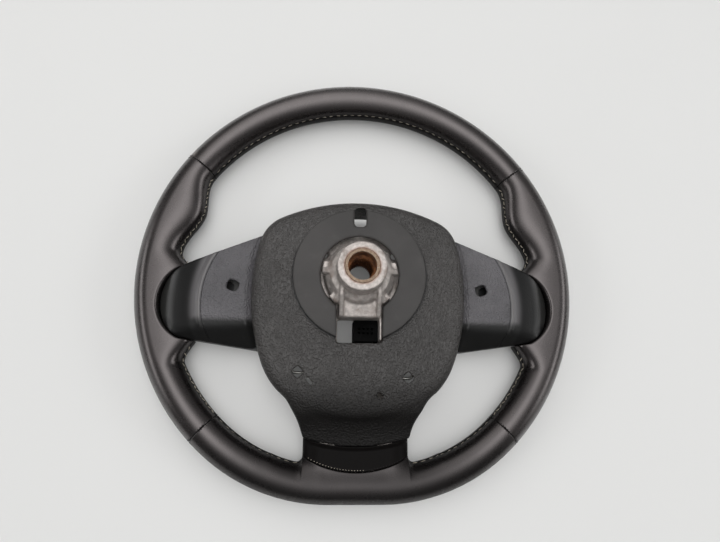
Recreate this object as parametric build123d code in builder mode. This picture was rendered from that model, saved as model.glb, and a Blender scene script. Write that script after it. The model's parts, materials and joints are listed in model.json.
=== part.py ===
from build123d import *
import math
import os

# Car steering wheel: the hub axis is Z and the column side is up, so the wheel lies on the front of its rim.
# The origin is the mouth of the bore, on the rear face of the hub. +Y points to twelve o'clock.
# Lengths are millimetres. Heights are measured from the middle plane of the rim.

# Rim
rim_radius = 185.0
rim_width = 29.0
rim_depth = 31.0
flat_depth = 8.0  # how far the flat bottom lies inside the circle
corner_inset = 30.5  # rim radius less the radius that rounds the ends of the flat
dish = 64.5  # middle plane of the rim to the rear face of the hub
leather_thickness = 1.4
seam_gap = 0.4

# Places round the rim, in degrees above the horizontal
upper_seam_angle = 36.0
thumb_angle = 22.0
waist_angle = 9.0
web_upper_angle = 2.0
web_lower_angle = -18.0
web_end_angle = -31.0
lower_seam_margin = 2.5  # from the bend of the flat to the lower seam

# How far the grip stands inside the plain rim at those places
thumb_bulge = 12.5
waist_bulge = 5.0
web_bulge = 18.0
steps_between = 3

# Armature
core_width = 12.0
core_depth = 10.0
clasp = 2.4  # metal of the arms round the rim core
plate_height = 16.0
plate_thickness = 6.0
plate_radius = 42.0
plate_half_width = 56.0
plate_top = 33.0
plate_bottom = 62.0
boss_radius = 19.0
boss_foot_radius = 23.5
boss_foot_height = 44.0
flange_radius = 27.5
flange_height = 34.0
lug_radius = 30.2
lug_width = 6.5
lug_height = 36.5
lug_angles = (14.0, 166.0, 223.0, 317.0)
sight_hole_radius = 3.0
sight_hole_x = 29.0
sight_hole_y = 19.0
shelf_half_width = 16.0
shelf_end = 35.0
shelf_height = 37.0
shelf_rib = 3.2
shelf_rib_rise = 6.0
shelf_rib_end = 2.0
cheek_thickness = 1.8
arm_width = 30.0
arm_center = -14.0
arm_thickness = 6.5
arm_height = 6.0
arm_root = 53.0
arm_bend = 77.0
arm_drop_inset = 22.5  # end of the arm's level run inside the middle line of the rim
arm_slot_length = 22.0
arm_slot_width = 9.0
prong_width = 12.0
prong_x = 23.0
prong_bend = 92.0
prong_root = 58.0
prong_height = 1.0
prong_thickness = 5.0
ear_radius = 5.5
lightening_radius = 6.5
lightening_holes = ((43.0, 6.0), (42.0, -20.0))

# Hub bush
bush_radius = 13.0
bush_foot = 22.0
pilot_radius = 10.9
pilot_depth = 12.0
spline_radius = 8.7
spline_depth = 0.9
spline_count = 36

# Rear cover
wall = 2.5
cover_half_width = 86.0
cover_top = 62.2
cover_bottom = 112.0
cover_widest = -13.5
cover_top_bow = 150.0
cover_side_bow = 161.0
cover_bottom_bow = 120.0
cover_upper_corner = 30.0
cover_lower_corner = 60.0
cover_front = -8.0
cover_edge_radius = 9.0
cover_tilt = 1.5
disc_radius = 53.5
disc_height = 35.0
disc_thickness = 3.6
hub_hole_radius = 31.1
window_half_width = 17.8
window_bottom = 54.0
window_corner = 1.2
top_slot_width = 9.4
top_slot_length = 15.8
top_slot_y = 47.4
top_slot_corner = 3.0
clip_hole = 6.6
clip_hole_turn = 45.0
clip_hole_left = (-46.9, -76.8)
clip_hole_right = (38.6, -80.2)
slit_length = 6.0
slit_width = 2.4
slit_turn = -50.0
slit_left = (-37.9, -83.4)
slit_right = (16.9, -94.1)
pillar_radius = 4.5
pillar_upper = (46.0, 25.0)
pillar_lower = (49.0, -42.0)
passage_margin = 2.0

# Foot of the lower spoke
neck_shoulder = (62.0, -88.0)
neck_waist_half_width = 47.4
neck_half_width = 42.0
neck_front = 0.0
neck_share = 0.416  # shares of the way from the bowl to the middle line of the rim
neck_end_bow = 6.5
cove_share = 0.1
tab_share = 0.786
neck_screw_share = 0.12
cove_overlap = 5.0
cove_top_height = 26.0
cove_middle_height = 15.2
cove_end_height = 9.5
tab_end_bow = 11.5
tab_front = -9.0
tab_edge_radius = 4.0

# Side spokes
spoke_root_x = 60.0
spoke_root_top = 41.5
spoke_root_bottom = -62.5
spoke_tip_inset = 9.0  # tip of the spoke inside the middle line of the rim
spoke_tip_bow = 18.5
spoke_tip_top = 8.7
spoke_tip_bottom = -50.0
spoke_corner = 6.0
spoke_root_height = 22.5
crease_inset = 35.0  # crease inside the tip of the spoke
crease_bow = 6.0
crease_height = 19.5
spoke_tip_height = 7.0
pad_rise = 0.8
pad_bottom = -36.0
shoulder_radius = 5.0
flank_foot = -58.0
flank_angle = 47.0
parting = 2.0
bezel_front = -8.0
bezel_edge_radius = 3.0
access_hole_length = 9.6
access_hole_width = 8.4
access_hole_corner = 2.5
access_hole_inset = 14.5  # from the middle of the switches towards the hub
access_hole_y = -8.5
access_hole_turn = 20.0

# Switches, with depths measured inwards from the front face of the bezel
pod_share = 0.3974  # shares of the spoke's length outside the bowl
rocker_share = 0.3311
button_share = 0.1987
pod_y = -15.0
pod_wall = 1.6
pod_floor = 1.4
key_height = 20.0
key_gap = 0.8
key_corner = 2.5
key_proud = 1.2
key_plate = 3.0
key_body_depth = 5.8
key_body_inset = 2.4
key_travel = 0.9
stem_radius = 1.8
stem_length = 0.9
stop_gap = 0.2
lip = 0.5
lip_thickness = 1.0
lip_gap = 0.1
contact_height = 0.8
contact_size = 4.0
board_thickness = 1.4
pin_radius = 1.0
pin_depth = 4.2
rib_thickness = 1.4
rib_half_length = 3.0
rib_gap = 0.4

# Harness and springs
connector_left = -4.0
connector_bottom = 52.0
connector_foot = 1.0
connector_height = 22.0
socket_size = 1.8
socket_depth = 5.0
socket_pitch = 3.4
socket_rows = 2
socket_columns = 4
lead_radius = 2.0
lead_bend = 6.0
lead_drop = 14.0
lead_end_y = -22.0
lead_turn_x = 38.0
lead_knee = (66.0, -50.0)
lead_entry_x = 78.0
lead_height = 4.0
lead_right_x = 10.0
lead_left_x = 1.0
spring_radius = 1.2
spring_bend = 4.0
spring_leg = 28.0
spring_half_width = 6.0

# Fasteners
screw_radius = 2.0
screw_head_radius = 3.8
screw_head_height = 2.4
screw_bite = 5.0
recess_radius = 1.3
recess_depth = 1.4
bezel_boss_radius = 3.6
bezel_screw_upper_inset = 16.0
bezel_screw_upper_y = 9.0
bezel_screw_lower_inset = 8.0
bezel_screw_lower_y = -37.0

# Clearances
fit = 0.4  # between two covers, or a cover and the leather
running = 0.12  # round a pin

# Sizes that follow from the ones above
mid_radius = rim_radius - rim_width / 2
corner_radius = rim_radius - corner_inset
root_end = rim_radius - flat_depth - rim_width / 2
corner_drop = corner_inset - flat_depth
corner_x = math.sqrt(corner_inset**2 - corner_drop**2)
corner_turn = math.degrees(math.atan2(corner_x, corner_drop))
lower_seam_angle = -90 + corner_turn + lower_seam_margin
gap_angle = math.degrees(seam_gap / 2 / mid_radius)
plate_top_height = plate_height + plate_thickness
arm_drop = mid_radius - arm_drop_inset
lower_span = root_end - cover_bottom
neck_waist = (neck_waist_half_width, -cover_bottom)
neck_end = cover_bottom + neck_share * lower_span
tab_end = cover_bottom + tab_share * lower_span
neck_screw = (prong_x, -cover_bottom - neck_screw_share * lower_span)
cove_top = (cover_bottom - cove_overlap, cove_top_height)
cove_middle = (cover_bottom + cove_share * lower_span, cove_middle_height)
cheek_length = connector_bottom - shelf_end + cheek_thickness
cheek_middle = cheek_length / 2 - connector_bottom
spoke_tip_x = mid_radius - spoke_tip_inset
spoke_corner_x = spoke_tip_x - spoke_tip_bow
crease_x = spoke_tip_x - crease_inset
spoke_length = spoke_tip_x - cover_half_width
pod_x = cover_half_width + pod_share * spoke_length
rocker_width = rocker_share * spoke_length
button_width = button_share * spoke_length
access_hole_x = pod_x - access_hole_inset
bezel_screw_upper = (pod_x - bezel_screw_upper_inset, bezel_screw_upper_y)
bezel_screw_lower = (pod_x - bezel_screw_lower_inset, bezel_screw_lower_y)
window_width = rocker_width + button_width + 3 * key_gap
window_height = key_height + 2 * key_gap
rocker_x = (window_width - rocker_width) / 2 - key_gap
button_x = -(window_width - button_width) / 2 + key_gap
stem_end = key_body_depth + stem_length
contact_depth = stem_end + key_travel + stop_gap
board_depth = contact_depth + contact_height
pod_floor_depth = board_depth + board_thickness
pod_depth = pod_floor_depth + pod_floor
pod_half_width = window_width / 2 + key_gap + pod_wall
pod_half_height = window_height / 2 + key_gap + pod_wall
above_all = dish + rim_depth
through = 4 * rim_radius

os.makedirs("parts", exist_ok=True)


def level(height):
    """A height above the middle plane of the rim, as Z in the frame of the wheel."""
    return height - dish


def keep(piece, name):
    """Label a finished piece and write it."""
    piece.label = name
    export_step(piece, f"parts/{name}.step")


def mirrored(piece):
    """The same piece on the other side of the wheel."""
    return mirror(piece, about=Plane.YZ, mode=Mode.PRIVATE)


# Rim sections and their paths
def radial_plane(angle):
    """Plane through the hub axis, with X along the radius and Y up."""
    turn = math.radians(angle)
    along = (math.cos(turn), math.sin(turn), 0)
    across = (math.sin(turn), -math.cos(turn), 0)
    return Plane(origin=(0, 0, level(0)), x_dir=along, z_dir=across)


def section_plan(bulge, inset):
    """Section of the rim: half an ellipse outside, and a longer one inside where the grip bulges."""
    center = (mid_radius, 0)
    depth = rim_depth / 2 - inset
    with BuildSketch() as section:
        with BuildLine():
            EllipticalCenterArc(center, rim_width / 2 - inset, depth, -90, arc_size=180)
            EllipticalCenterArc(center, rim_width / 2 - inset + bulge, depth, 90, arc_size=180)
        make_face()
    return section.sketch


def rim_plan(inset):
    """Plan of the rim at a distance inside its outer edge."""
    with BuildSketch() as plan:
        with BuildLine():
            CenterArc((0, 0), rim_radius - inset, corner_turn - 90, 360 - 2 * corner_turn)
            right = CenterArc((corner_x, -corner_drop), corner_radius - inset, -90, corner_turn)
            left = CenterArc((-corner_x, -corner_drop), corner_radius - inset, -90, -corner_turn)
            Line(left @ 0, right @ 0)
        make_face()
    return plan.sketch


def top_arc(inset, gap):
    with BuildPart() as arc:
        with BuildSketch(radial_plane(upper_seam_angle + gap)):
            add(section_plan(0, inset))
        revolve(axis=Axis.Z, revolution_arc=180 - 2 * (upper_seam_angle + gap))
    return arc.part


def right_grip(inset, gap):
    """The right grip, whose bulge swells and fades smoothly between the places named at the top."""
    places = (
        (upper_seam_angle - gap, 0),
        (thumb_angle, thumb_bulge),
        (waist_angle, waist_bulge),
        (web_upper_angle, web_bulge),
        (web_lower_angle, web_bulge),
        (web_end_angle, 0),
        (lower_seam_angle + gap, 0),
    )
    stations = [places[0]]
    for (angle, bulge), (next_angle, next_bulge) in zip(places, places[1:]):
        for step in range(1, steps_between + 1):
            share = step / steps_between
            swell = math.sin(math.pi / 2 * share) ** 2
            stations.append((angle + (next_angle - angle) * share, bulge + (next_bulge - bulge) * swell))
    with BuildPart() as grip:
        for angle, bulge in stations:
            with BuildSketch(radial_plane(angle)):
                add(section_plan(bulge, inset))
        loft()
    return grip.part


def bottom_bar(inset, gap):
    middle = rim_width / 2
    with BuildLine(Plane.XY.offset(level(0))) as path:
        CenterArc((0, 0), mid_radius, lower_seam_angle - gap, gap - lower_seam_margin)
        right = CenterArc((corner_x, -corner_drop), corner_radius - middle, corner_turn - 90, -corner_turn)
        left = CenterArc((-corner_x, -corner_drop), corner_radius - middle, -90, -corner_turn)
        Line(right @ 1, left @ 0)
        CenterArc((0, 0), mid_radius, -90 - corner_turn, gap - lower_seam_margin)
    with BuildPart() as bar:
        with BuildSketch(radial_plane(lower_seam_angle - gap)):
            add(section_plan(0, inset))
        sweep(path=path.wire())
    return bar.part


# Plans of the spokes and of the rear cover
def spoke_plan(grow):
    """Plan of the right spoke, from inside the rear cover to its rounded tip in the rim."""
    root_top = (spoke_root_x, spoke_root_top)
    root_bottom = (spoke_root_x, spoke_root_bottom)
    tip_top = (spoke_corner_x, spoke_tip_top)
    tip_bottom = (spoke_corner_x, spoke_tip_bottom)
    with BuildSketch() as plan:
        with BuildLine():
            Polyline(tip_bottom, root_bottom, root_top, tip_top)
            ThreePointArc(tip_top, (spoke_tip_x, (spoke_tip_top + spoke_tip_bottom) / 2), tip_bottom)
        make_face()
        fillet(plan.vertices().group_by(Axis.X)[-1], radius=spoke_corner)
        if grow:
            offset(amount=grow)
    return plan.sketch


def cover_plan(grow):
    """Plan of the bowl: a shield of four bowed sides, all moved outwards about their own centres."""
    side_x = cover_half_width - cover_side_bow
    with BuildSketch() as plan:
        with Locations((0, cover_top - cover_top_bow)):
            Circle(cover_top_bow + grow)
        with Locations((0, cover_bottom_bow - cover_bottom)):
            Circle(cover_bottom_bow + grow, mode=Mode.INTERSECT)
        with Locations((side_x, cover_widest)):
            Circle(cover_side_bow + grow, mode=Mode.INTERSECT)
        with Locations((-side_x, cover_widest)):
            Circle(cover_side_bow + grow, mode=Mode.INTERSECT)
        fillet(plan.vertices().group_by(Axis.Y)[0], radius=cover_lower_corner + grow)
        fillet(plan.vertices().group_by(Axis.Y)[-1], radius=cover_upper_corner + grow)
    return plan.sketch


def lower_spoke_plan(end, bow, grow):
    """Plan of the lower spoke, from inside the bowl to a bowed lower end."""
    side_start = (neck_half_width, neck_end_bow - neck_end)
    side_end = (neck_half_width, bow - end)
    with BuildSketch() as plan:
        with BuildLine():
            Line((0, neck_shoulder[1]), neck_shoulder)
            ThreePointArc(neck_shoulder, neck_waist, side_start)
            if side_end != side_start:
                Line(side_start, side_end)
            mirror(about=Plane.YZ)
            ThreePointArc(side_end, (0, -end), (-side_end[0], side_end[1]))
        make_face()
        if grow:
            offset(amount=grow)
    return plan.sketch


def neck_plan(grow):
    """Plan of the rear cover's part of the lower spoke."""
    return lower_spoke_plan(neck_end, neck_end_bow, grow)


def tab_plan(grow):
    """Plan of the lower spoke as far as the stitched seam."""
    return lower_spoke_plan(tab_end, tab_end_bow, grow)


def prism(plan, low, high):
    """A plan between two heights."""
    with BuildPart() as block:
        with BuildSketch(Plane.XY.offset(level(low))):
            add(plan)
        extrude(amount=high - low)
    return block.part


def arm_solid(grow):
    """The two spoke arms: a bar that leaves the plate, runs along the spokes and drops to the rim core."""
    with BuildPart() as arms:
        with BuildSketch(Plane.XZ.offset(-arm_center - arm_width / 2 - grow)):
            with BuildLine():
                Polyline(
                    (0, level(plate_top_height)),
                    (arm_root, level(plate_top_height)),
                    (arm_bend, level(arm_height + arm_thickness)),
                    (arm_drop, level(arm_height + arm_thickness)),
                    (mid_radius - core_width, level(core_depth / 2)),
                    (mid_radius, level(core_depth / 2)),
                    (mid_radius, level(-core_depth / 2)),
                    (mid_radius - core_width - arm_thickness / 2, level(-core_depth / 2)),
                    (arm_drop - arm_thickness, level(arm_height)),
                    (arm_bend - arm_thickness / 2, level(arm_height)),
                    (arm_root - arm_thickness / 2, level(plate_height)),
                    (0, level(plate_height)),
                )
                mirror(about=Plane.YZ)
            make_face()
            if grow:
                offset(amount=grow, kind=Kind.INTERSECTION)
        extrude(amount=arm_width + 2 * grow)
    return arms.part


# Solids that the mouldings are cut from
def bowl_solid(inset, low):
    """The bowl, with its rear face tilted so that it meets the disc at the top."""
    tilt = math.radians(cover_tilt)
    rear = Plane(
        origin=(0, disc_radius, level(disc_height) - inset),
        z_dir=(0, -math.sin(tilt), math.cos(tilt)),
    )
    with BuildPart() as bowl:
        with BuildSketch(Plane.XY.offset(level(low))):
            add(cover_plan(-inset))
        extrude(amount=disc_height + rim_depth)
        split(bisect_by=rear, keep=Keep.BOTTOM)
        fillet(bowl.faces().sort_by(Axis.Z)[-1].edges(), radius=cover_edge_radius - inset)
    return bowl.part


def neck_solid(inset, low):
    """The lower spoke of the rear cover, whose rear side is a hollow sweep from the bowl to its lower end."""
    top = (-cove_top[0], level(cove_top[1]) - inset)
    middle = (-cove_middle[0], level(cove_middle[1]) - inset)
    end = (-neck_end - wall, level(cove_end_height) - inset)
    with BuildPart() as neck:
        with BuildSketch(Plane.XY.offset(level(low))):
            add(neck_plan(-inset))
        extrude(amount=cove_top[1] - low)
        with BuildSketch(Plane.YZ):
            with BuildLine():
                ThreePointArc(top, middle, end)
                Polyline(end, (end[0], level(low)), (0, level(low)), (0, top[1]), top)
            make_face()
        extrude(amount=cover_half_width, both=True, mode=Mode.INTERSECT)
    return neck.part


def spoke_solid(inset, low):
    """The right spoke's rear moulding: nearly flat to the crease, then rounding down into the rim."""
    root = (spoke_root_x, level(spoke_root_height) - inset)
    crease = (crease_x, level(crease_height) - inset)
    tip = (spoke_tip_x + fit, level(spoke_tip_height) - inset)
    flank_rise = above_all
    flank_run = flank_rise / math.tan(math.radians(flank_angle))
    foot = (flank_foot + inset / math.sin(math.radians(flank_angle)), level(parting))
    with BuildPart() as body:
        with BuildSketch(Plane.XY.offset(level(low))):
            add(spoke_plan(-inset))
        extrude(amount=spoke_root_height - low)
        with BuildSketch(Plane.XZ):
            with BuildLine():
                slope = Line(root, crease)
                TangentArc(crease, tip, tangent=slope % 1)
                Polyline(tip, (tip[0], level(low)), (root[0], level(low)), root)
            make_face()
        extrude(amount=through, both=True, mode=Mode.INTERSECT)
        with BuildSketch(Plane.YZ):
            with BuildLine():
                Polyline(
                    (foot[0], level(low) - wall),
                    foot,
                    (foot[0] + flank_run, foot[1] + flank_rise),
                    (above_all, foot[1] + flank_rise),
                    (above_all, level(low) - wall),
                    close=True,
                )
            make_face()
        extrude(amount=through, both=True, mode=Mode.INTERSECT)
        flank = body.faces().filter_by(lambda face: face.normal_at().Y < -0.3 and face.normal_at().Z > 0.3)
        upper = body.faces().filter_by(lambda face: face.normal_at().Z > 0.6 and face.normal_at().Y > -0.3)
        fillet(flank.edges() & upper.edges(), radius=shoulder_radius - inset)
    return body.part


def spoke_pad():
    """The grained panel beside the bowl, a little proud of the spoke and ending at a bowed crease."""
    rise = pad_rise + spoke_root_height
    middle = (spoke_tip_top + spoke_tip_bottom) / 2
    half = (spoke_tip_top - spoke_tip_bottom) / 2
    crease_radius = (half**2 + crease_bow**2) / (2 * crease_bow)
    with BuildPart() as pad:
        with BuildSketch(Plane.XY.offset(level(parting))):
            add(spoke_plan(-fit))
            with Locations((crease_x - crease_radius, middle)):
                Circle(crease_radius, mode=Mode.INTERSECT)
            with Locations((crease_x, (spoke_root_top + pad_bottom) / 2)):
                Rectangle(2 * crease_x, spoke_root_top - pad_bottom, mode=Mode.INTERSECT)
        extrude(amount=rise - parting)
        with BuildSketch(Plane.XZ):
            with BuildLine():
                root = (spoke_root_x, level(spoke_root_height) + pad_rise)
                crease = (crease_x, level(crease_height) + pad_rise)
                Polyline(root, crease, (crease[0], level(parting)), (root[0], level(parting)), close=True)
            make_face()
        extrude(amount=through, both=True, mode=Mode.INTERSECT)
    return pad.part


# Rim: foam over the core, and leather panels over the foam
spoke_pocket = prism(spoke_plan(fit), -rim_depth, rim_depth)


def root_solid(inset):
    """Root of the lower spoke, from the rear cover's lower end into the rim."""
    with BuildPart() as root:
        with BuildSketch(Plane.XY.offset(level(tab_front + inset))):
            add(lower_spoke_plan(root_end, tab_end_bow, -inset))
        extrude(amount=cove_end_height - tab_front - 2 * inset)
        fillet(root.edges().filter_by(Axis.Z, reverse=True), radius=tab_edge_radius - inset)
        add(prism(neck_plan(fit), -rim_depth, rim_depth), mode=Mode.SUBTRACT)
    return root.part


with BuildPart() as rim_core:
    with BuildSketch(Plane.XY.offset(level(-core_depth / 2))):
        add(rim_plan((rim_width - core_width) / 2))
        add(rim_plan((rim_width + core_width) / 2), mode=Mode.SUBTRACT)
    extrude(amount=core_depth)

# One casting: the hub, two spoke arms and two lower arms, cast round the rim core
with BuildPart() as casting:
    with BuildSketch(Plane.XY.offset(level(plate_height))) as plate:
        Circle(plate_radius)
        with BuildLine():
            Polyline(
                (0, plate_top),
                (plate_half_width, plate_top),
                (plate_half_width, -plate_bottom),
                (0, -plate_bottom),
            )
            mirror(about=Plane.YZ)
        make_face()
        fillet(plate.vertices().group_by(Axis.Y)[0], radius=ear_radius)
    extrude(amount=plate_thickness)
    add(arm_solid(0))
    with BuildSketch(Plane.YZ):
        with BuildLine():
            Polyline(
                (-plate_radius / 2, level(plate_top_height)),
                (-prong_root, level(plate_top_height)),
                (-prong_bend, level(prong_height + prong_thickness)),
                (-root_end, level(prong_height + prong_thickness)),
                (-root_end, level(prong_height)),
                (-prong_bend + plate_thickness / 2, level(prong_height)),
                (-prong_root + plate_thickness / 2, level(plate_height)),
                (-plate_radius / 2, level(plate_height)),
                close=True,
            )
        make_face()
    extrude(amount=prong_x + prong_width / 2, both=True)
    with BuildSketch(Plane.XY.offset(level(-rim_depth))):
        with BuildLine():
            gap_half = prong_x - prong_width / 2
            gap_low = flat_depth + rim_width - rim_radius
            Polyline(
                (-gap_half, -shelf_end),
                (gap_half, -shelf_end),
                (gap_half, gap_low),
                (-gap_half, gap_low),
                close=True,
            )
        make_face()
    extrude(amount=2 * rim_depth, mode=Mode.SUBTRACT)
    with BuildSketch(Plane.XZ):
        with BuildLine():
            Polyline(
                (0, level(plate_height)),
                (flange_radius, level(plate_height)),
                (flange_radius, level(flange_height)),
                (boss_foot_radius + shelf_rib, level(flange_height)),
                (boss_foot_radius, level(boss_foot_height)),
                (boss_radius, level(boss_foot_height + shelf_rib)),
                (boss_radius, 0),
                (0, 0),
                close=True,
            )
        make_face()
    revolve(axis=Axis.Z)
    for lug_angle in lug_angles:
        with BuildSketch(Plane.XY.offset(level(plate_height)).rotated((0, 0, lug_angle))):
            with Locations((lug_radius / 2, 0)):
                Rectangle(lug_radius, lug_width)
        extrude(amount=lug_height - plate_height)
    with BuildSketch(Plane.YZ):
        with BuildLine():
            Polyline(
                (0, level(plate_height)),
                (-shelf_end, level(plate_height)),
                (-shelf_end, level(shelf_height)),
                (-boss_foot_radius, level(shelf_height + shelf_rib)),
                (0, level(shelf_height + shelf_rib)),
                close=True,
            )
        make_face()
    extrude(amount=shelf_half_width, both=True)
    for side in (-1, 1):
        with BuildSketch(Plane.YZ.offset(side * (shelf_half_width - shelf_rib / 2))):
            with BuildLine():
                Polyline(
                    (0, level(shelf_height)),
                    (-shelf_end, level(shelf_height)),
                    (-shelf_end, level(shelf_height + shelf_rib_end)),
                    (-boss_radius, level(boss_foot_height + shelf_rib_rise)),
                    (0, level(boss_foot_height + shelf_rib_rise)),
                    close=True,
                )
            make_face()
        extrude(amount=shelf_rib / 2, both=True)
    with BuildSketch(Plane.XY.offset(level(connector_foot))):
        with Locations((window_half_width - fit - cheek_thickness / 2, cheek_middle)):
            Rectangle(cheek_thickness, cheek_length)
    extrude(amount=disc_height - fit - connector_foot)
    for ear_x, ear_y in (bezel_screw_upper, bezel_screw_lower):
        for side in (-1, 1):
            with BuildSketch(Plane.XY.offset(level(arm_height))):
                with Locations((side * ear_x, ear_y)):
                    Circle(ear_radius)
                with Locations((side * ear_x, (ear_y + arm_center) / 2)):
                    Rectangle(2 * ear_radius, abs(ear_y - arm_center))
            extrude(amount=arm_thickness)
    with BuildSketch(Plane.XY.offset(level(-core_depth / 2 - clasp))):
        with Locations((mid_radius, arm_center), (-mid_radius, arm_center)):
            Rectangle(core_width + 2 * clasp, arm_width)
        with Locations((prong_x, -root_end), (-prong_x, -root_end)):
            Rectangle(prong_width, core_width + 2 * clasp)
    extrude(amount=core_depth + 2 * clasp)
    add(rim_core.part, mode=Mode.SUBTRACT)
    with BuildSketch(Plane.XY.offset(level(-rim_depth))):
        with Locations((0, 0)):
            Circle(bush_radius)
        for side in (-1, 1):
            with Locations((side * sight_hole_x, sight_hole_y)):
                Circle(sight_hole_radius)
            with Locations((side * (access_hole_x + arm_slot_length / 2), access_hole_y)):
                SlotOverall(arm_slot_length, arm_slot_width)
            for hole_x, hole_y in (pillar_upper, pillar_lower, bezel_screw_upper, bezel_screw_lower, neck_screw):
                with Locations((side * hole_x, hole_y)):
                    Circle(screw_radius + running)
            for hole_x, hole_y in lightening_holes:
                with Locations((side * hole_x, hole_y)):
                    Circle(lightening_radius)
    extrude(amount=above_all, mode=Mode.SUBTRACT)


def casting_between(left, right, bottom, top):
    """The casting between limits in plan."""
    with BuildPart() as share:
        with BuildSketch(Plane.XY.offset(level(-rim_depth))):
            with Locations(((left + right) / 2, (bottom + top) / 2)):
                Rectangle(right - left, top - bottom)
        extrude(amount=above_all)
        add(casting.part, mode=Mode.INTERSECT)
    return share.part


hub = casting_between(-plate_half_width, plate_half_width, -plate_bottom, plate_radius)
right_spoke_arm = casting_between(plate_half_width, rim_radius, -plate_bottom, plate_radius)
lower_arms = casting_between(-plate_half_width, plate_half_width, -rim_radius, -plate_bottom)

with BuildPart() as hub_bush:
    with BuildSketch(Plane.XZ):
        with BuildLine():
            Polyline(
                (spline_radius, level(bush_foot)),
                (bush_radius, level(bush_foot)),
                (bush_radius, 0),
                (pilot_radius, 0),
                (pilot_radius, -pilot_depth),
                (spline_radius, -pilot_depth - pilot_radius + spline_radius),
                close=True,
            )
        make_face()
    revolve(axis=Axis.Z)
    with BuildSketch(Plane.XY.offset(level(bush_foot))):
        with PolarLocations(spline_radius, spline_count):
            Rectangle(2 * spline_depth, math.pi * spline_radius / spline_count)
    extrude(amount=dish - bush_foot - pilot_depth, mode=Mode.SUBTRACT)

with BuildPart() as rim_solid:
    add(top_arc(leather_thickness, 0))
    add(right_grip(leather_thickness, 0))
    add(mirrored(right_grip(leather_thickness, 0)))
    add(bottom_bar(leather_thickness, 0))
    add(root_solid(leather_thickness))
    add(spoke_pocket, mode=Mode.SUBTRACT)
    add(mirrored(spoke_pocket), mode=Mode.SUBTRACT)

with BuildPart() as rim_foam:
    add(rim_solid.part)
    add(casting.part, mode=Mode.SUBTRACT)
    add(rim_core.part, mode=Mode.SUBTRACT)

with BuildPart() as leather_top:
    add(top_arc(0, gap_angle))
    add(rim_solid.part, mode=Mode.SUBTRACT)

with BuildPart() as leather_right_grip:
    add(right_grip(0, gap_angle))
    add(rim_solid.part, mode=Mode.SUBTRACT)
    add(spoke_pocket, mode=Mode.SUBTRACT)
    add(casting.part, mode=Mode.SUBTRACT)

with BuildPart() as leather_bottom:
    add(bottom_bar(0, gap_angle))
    add(root_solid(0))
    add(rim_solid.part, mode=Mode.SUBTRACT)
    add(prism(tab_plan(seam_gap), -rim_depth, rim_depth), mode=Mode.SUBTRACT)
    add(casting.part, mode=Mode.SUBTRACT)

with BuildPart() as leather_spoke_tab:
    add(root_solid(0))
    add(prism(tab_plan(0), -rim_depth, rim_depth), mode=Mode.INTERSECT)
    add(rim_solid.part, mode=Mode.SUBTRACT)
    add(casting.part, mode=Mode.SUBTRACT)

keep(hub, "armature")
keep(right_spoke_arm, "right_spoke_arm")
keep(mirrored(right_spoke_arm), "left_spoke_arm")
keep(lower_arms, "lower_arms")
keep(rim_core.part, "rim_core")
keep(hub_bush.part, "hub_bush")
keep(rim_foam.part, "rim_foam")
keep(leather_top.part, "leather_top")
keep(leather_right_grip.part, "leather_right_grip")
keep(mirrored(leather_right_grip.part), "leather_left_grip")
keep(leather_bottom.part, "leather_bottom")
keep(leather_spoke_tab.part, "leather_spoke_tab")

# Rear cover: the bowl and the lower spoke as one moulding
with BuildPart() as pillars:
    with BuildSketch(Plane.XY.offset(level(plate_top_height))):
        for pillar_x, pillar_y in (pillar_upper, pillar_lower):
            with Locations((pillar_x, pillar_y), (-pillar_x, pillar_y)):
                Circle(pillar_radius)
    extrude(amount=disc_height - plate_top_height)
    add(bowl_solid(wall / 2, cover_front), mode=Mode.INTERSECT)
    with BuildSketch(Plane.XY.offset(level(plate_top_height))):
        for pillar_x, pillar_y in (pillar_upper, pillar_lower):
            with Locations((pillar_x, pillar_y), (-pillar_x, pillar_y)):
                Circle(screw_radius)
    extrude(amount=screw_bite, mode=Mode.SUBTRACT)

with BuildPart() as rear_cover:
    add(bowl_solid(0, cover_front))
    add(neck_solid(0, neck_front))
    add(bowl_solid(wall, -rim_depth), mode=Mode.SUBTRACT)
    add(neck_solid(wall, neck_front), mode=Mode.SUBTRACT)
    with BuildSketch(Plane.XY.offset(level(disc_height))):
        Circle(disc_radius)
    extrude(amount=-disc_thickness)
    add(pillars.part)
    with BuildSketch(Plane.XY.offset(level(plate_height))) as openings:
        Circle(hub_hole_radius)
        with Locations((0, -window_bottom / 2)):
            Rectangle(2 * window_half_width, window_bottom)
        with Locations((0, top_slot_y)):
            RectangleRounded(top_slot_width, top_slot_length, top_slot_corner)
        fillet(openings.vertices().group_by(Axis.Y)[0], radius=window_corner)
        with Locations(clip_hole_left, clip_hole_right):
            Rectangle(clip_hole, clip_hole, rotation=clip_hole_turn)
        with Locations(slit_left, slit_right):
            SlotOverall(slit_length, slit_width, rotation=slit_turn)
    extrude(amount=disc_height, mode=Mode.SUBTRACT)
    with BuildSketch(Plane.XY.offset(level(-rim_depth))):
        with Locations((0, arm_center)):
            Rectangle(through, arm_width + 2 * passage_margin)
    extrude(amount=rim_depth + arm_height + arm_thickness + passage_margin, mode=Mode.SUBTRACT)
    with BuildSketch(Plane.XY.offset(level(prong_height - fit))):
        with Locations((prong_x, -neck_end), (-prong_x, -neck_end)):
            Rectangle(prong_width + 2 * fit, 2 * (neck_end - cover_bottom))
    extrude(amount=prong_thickness + 2 * fit, mode=Mode.SUBTRACT)

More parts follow.
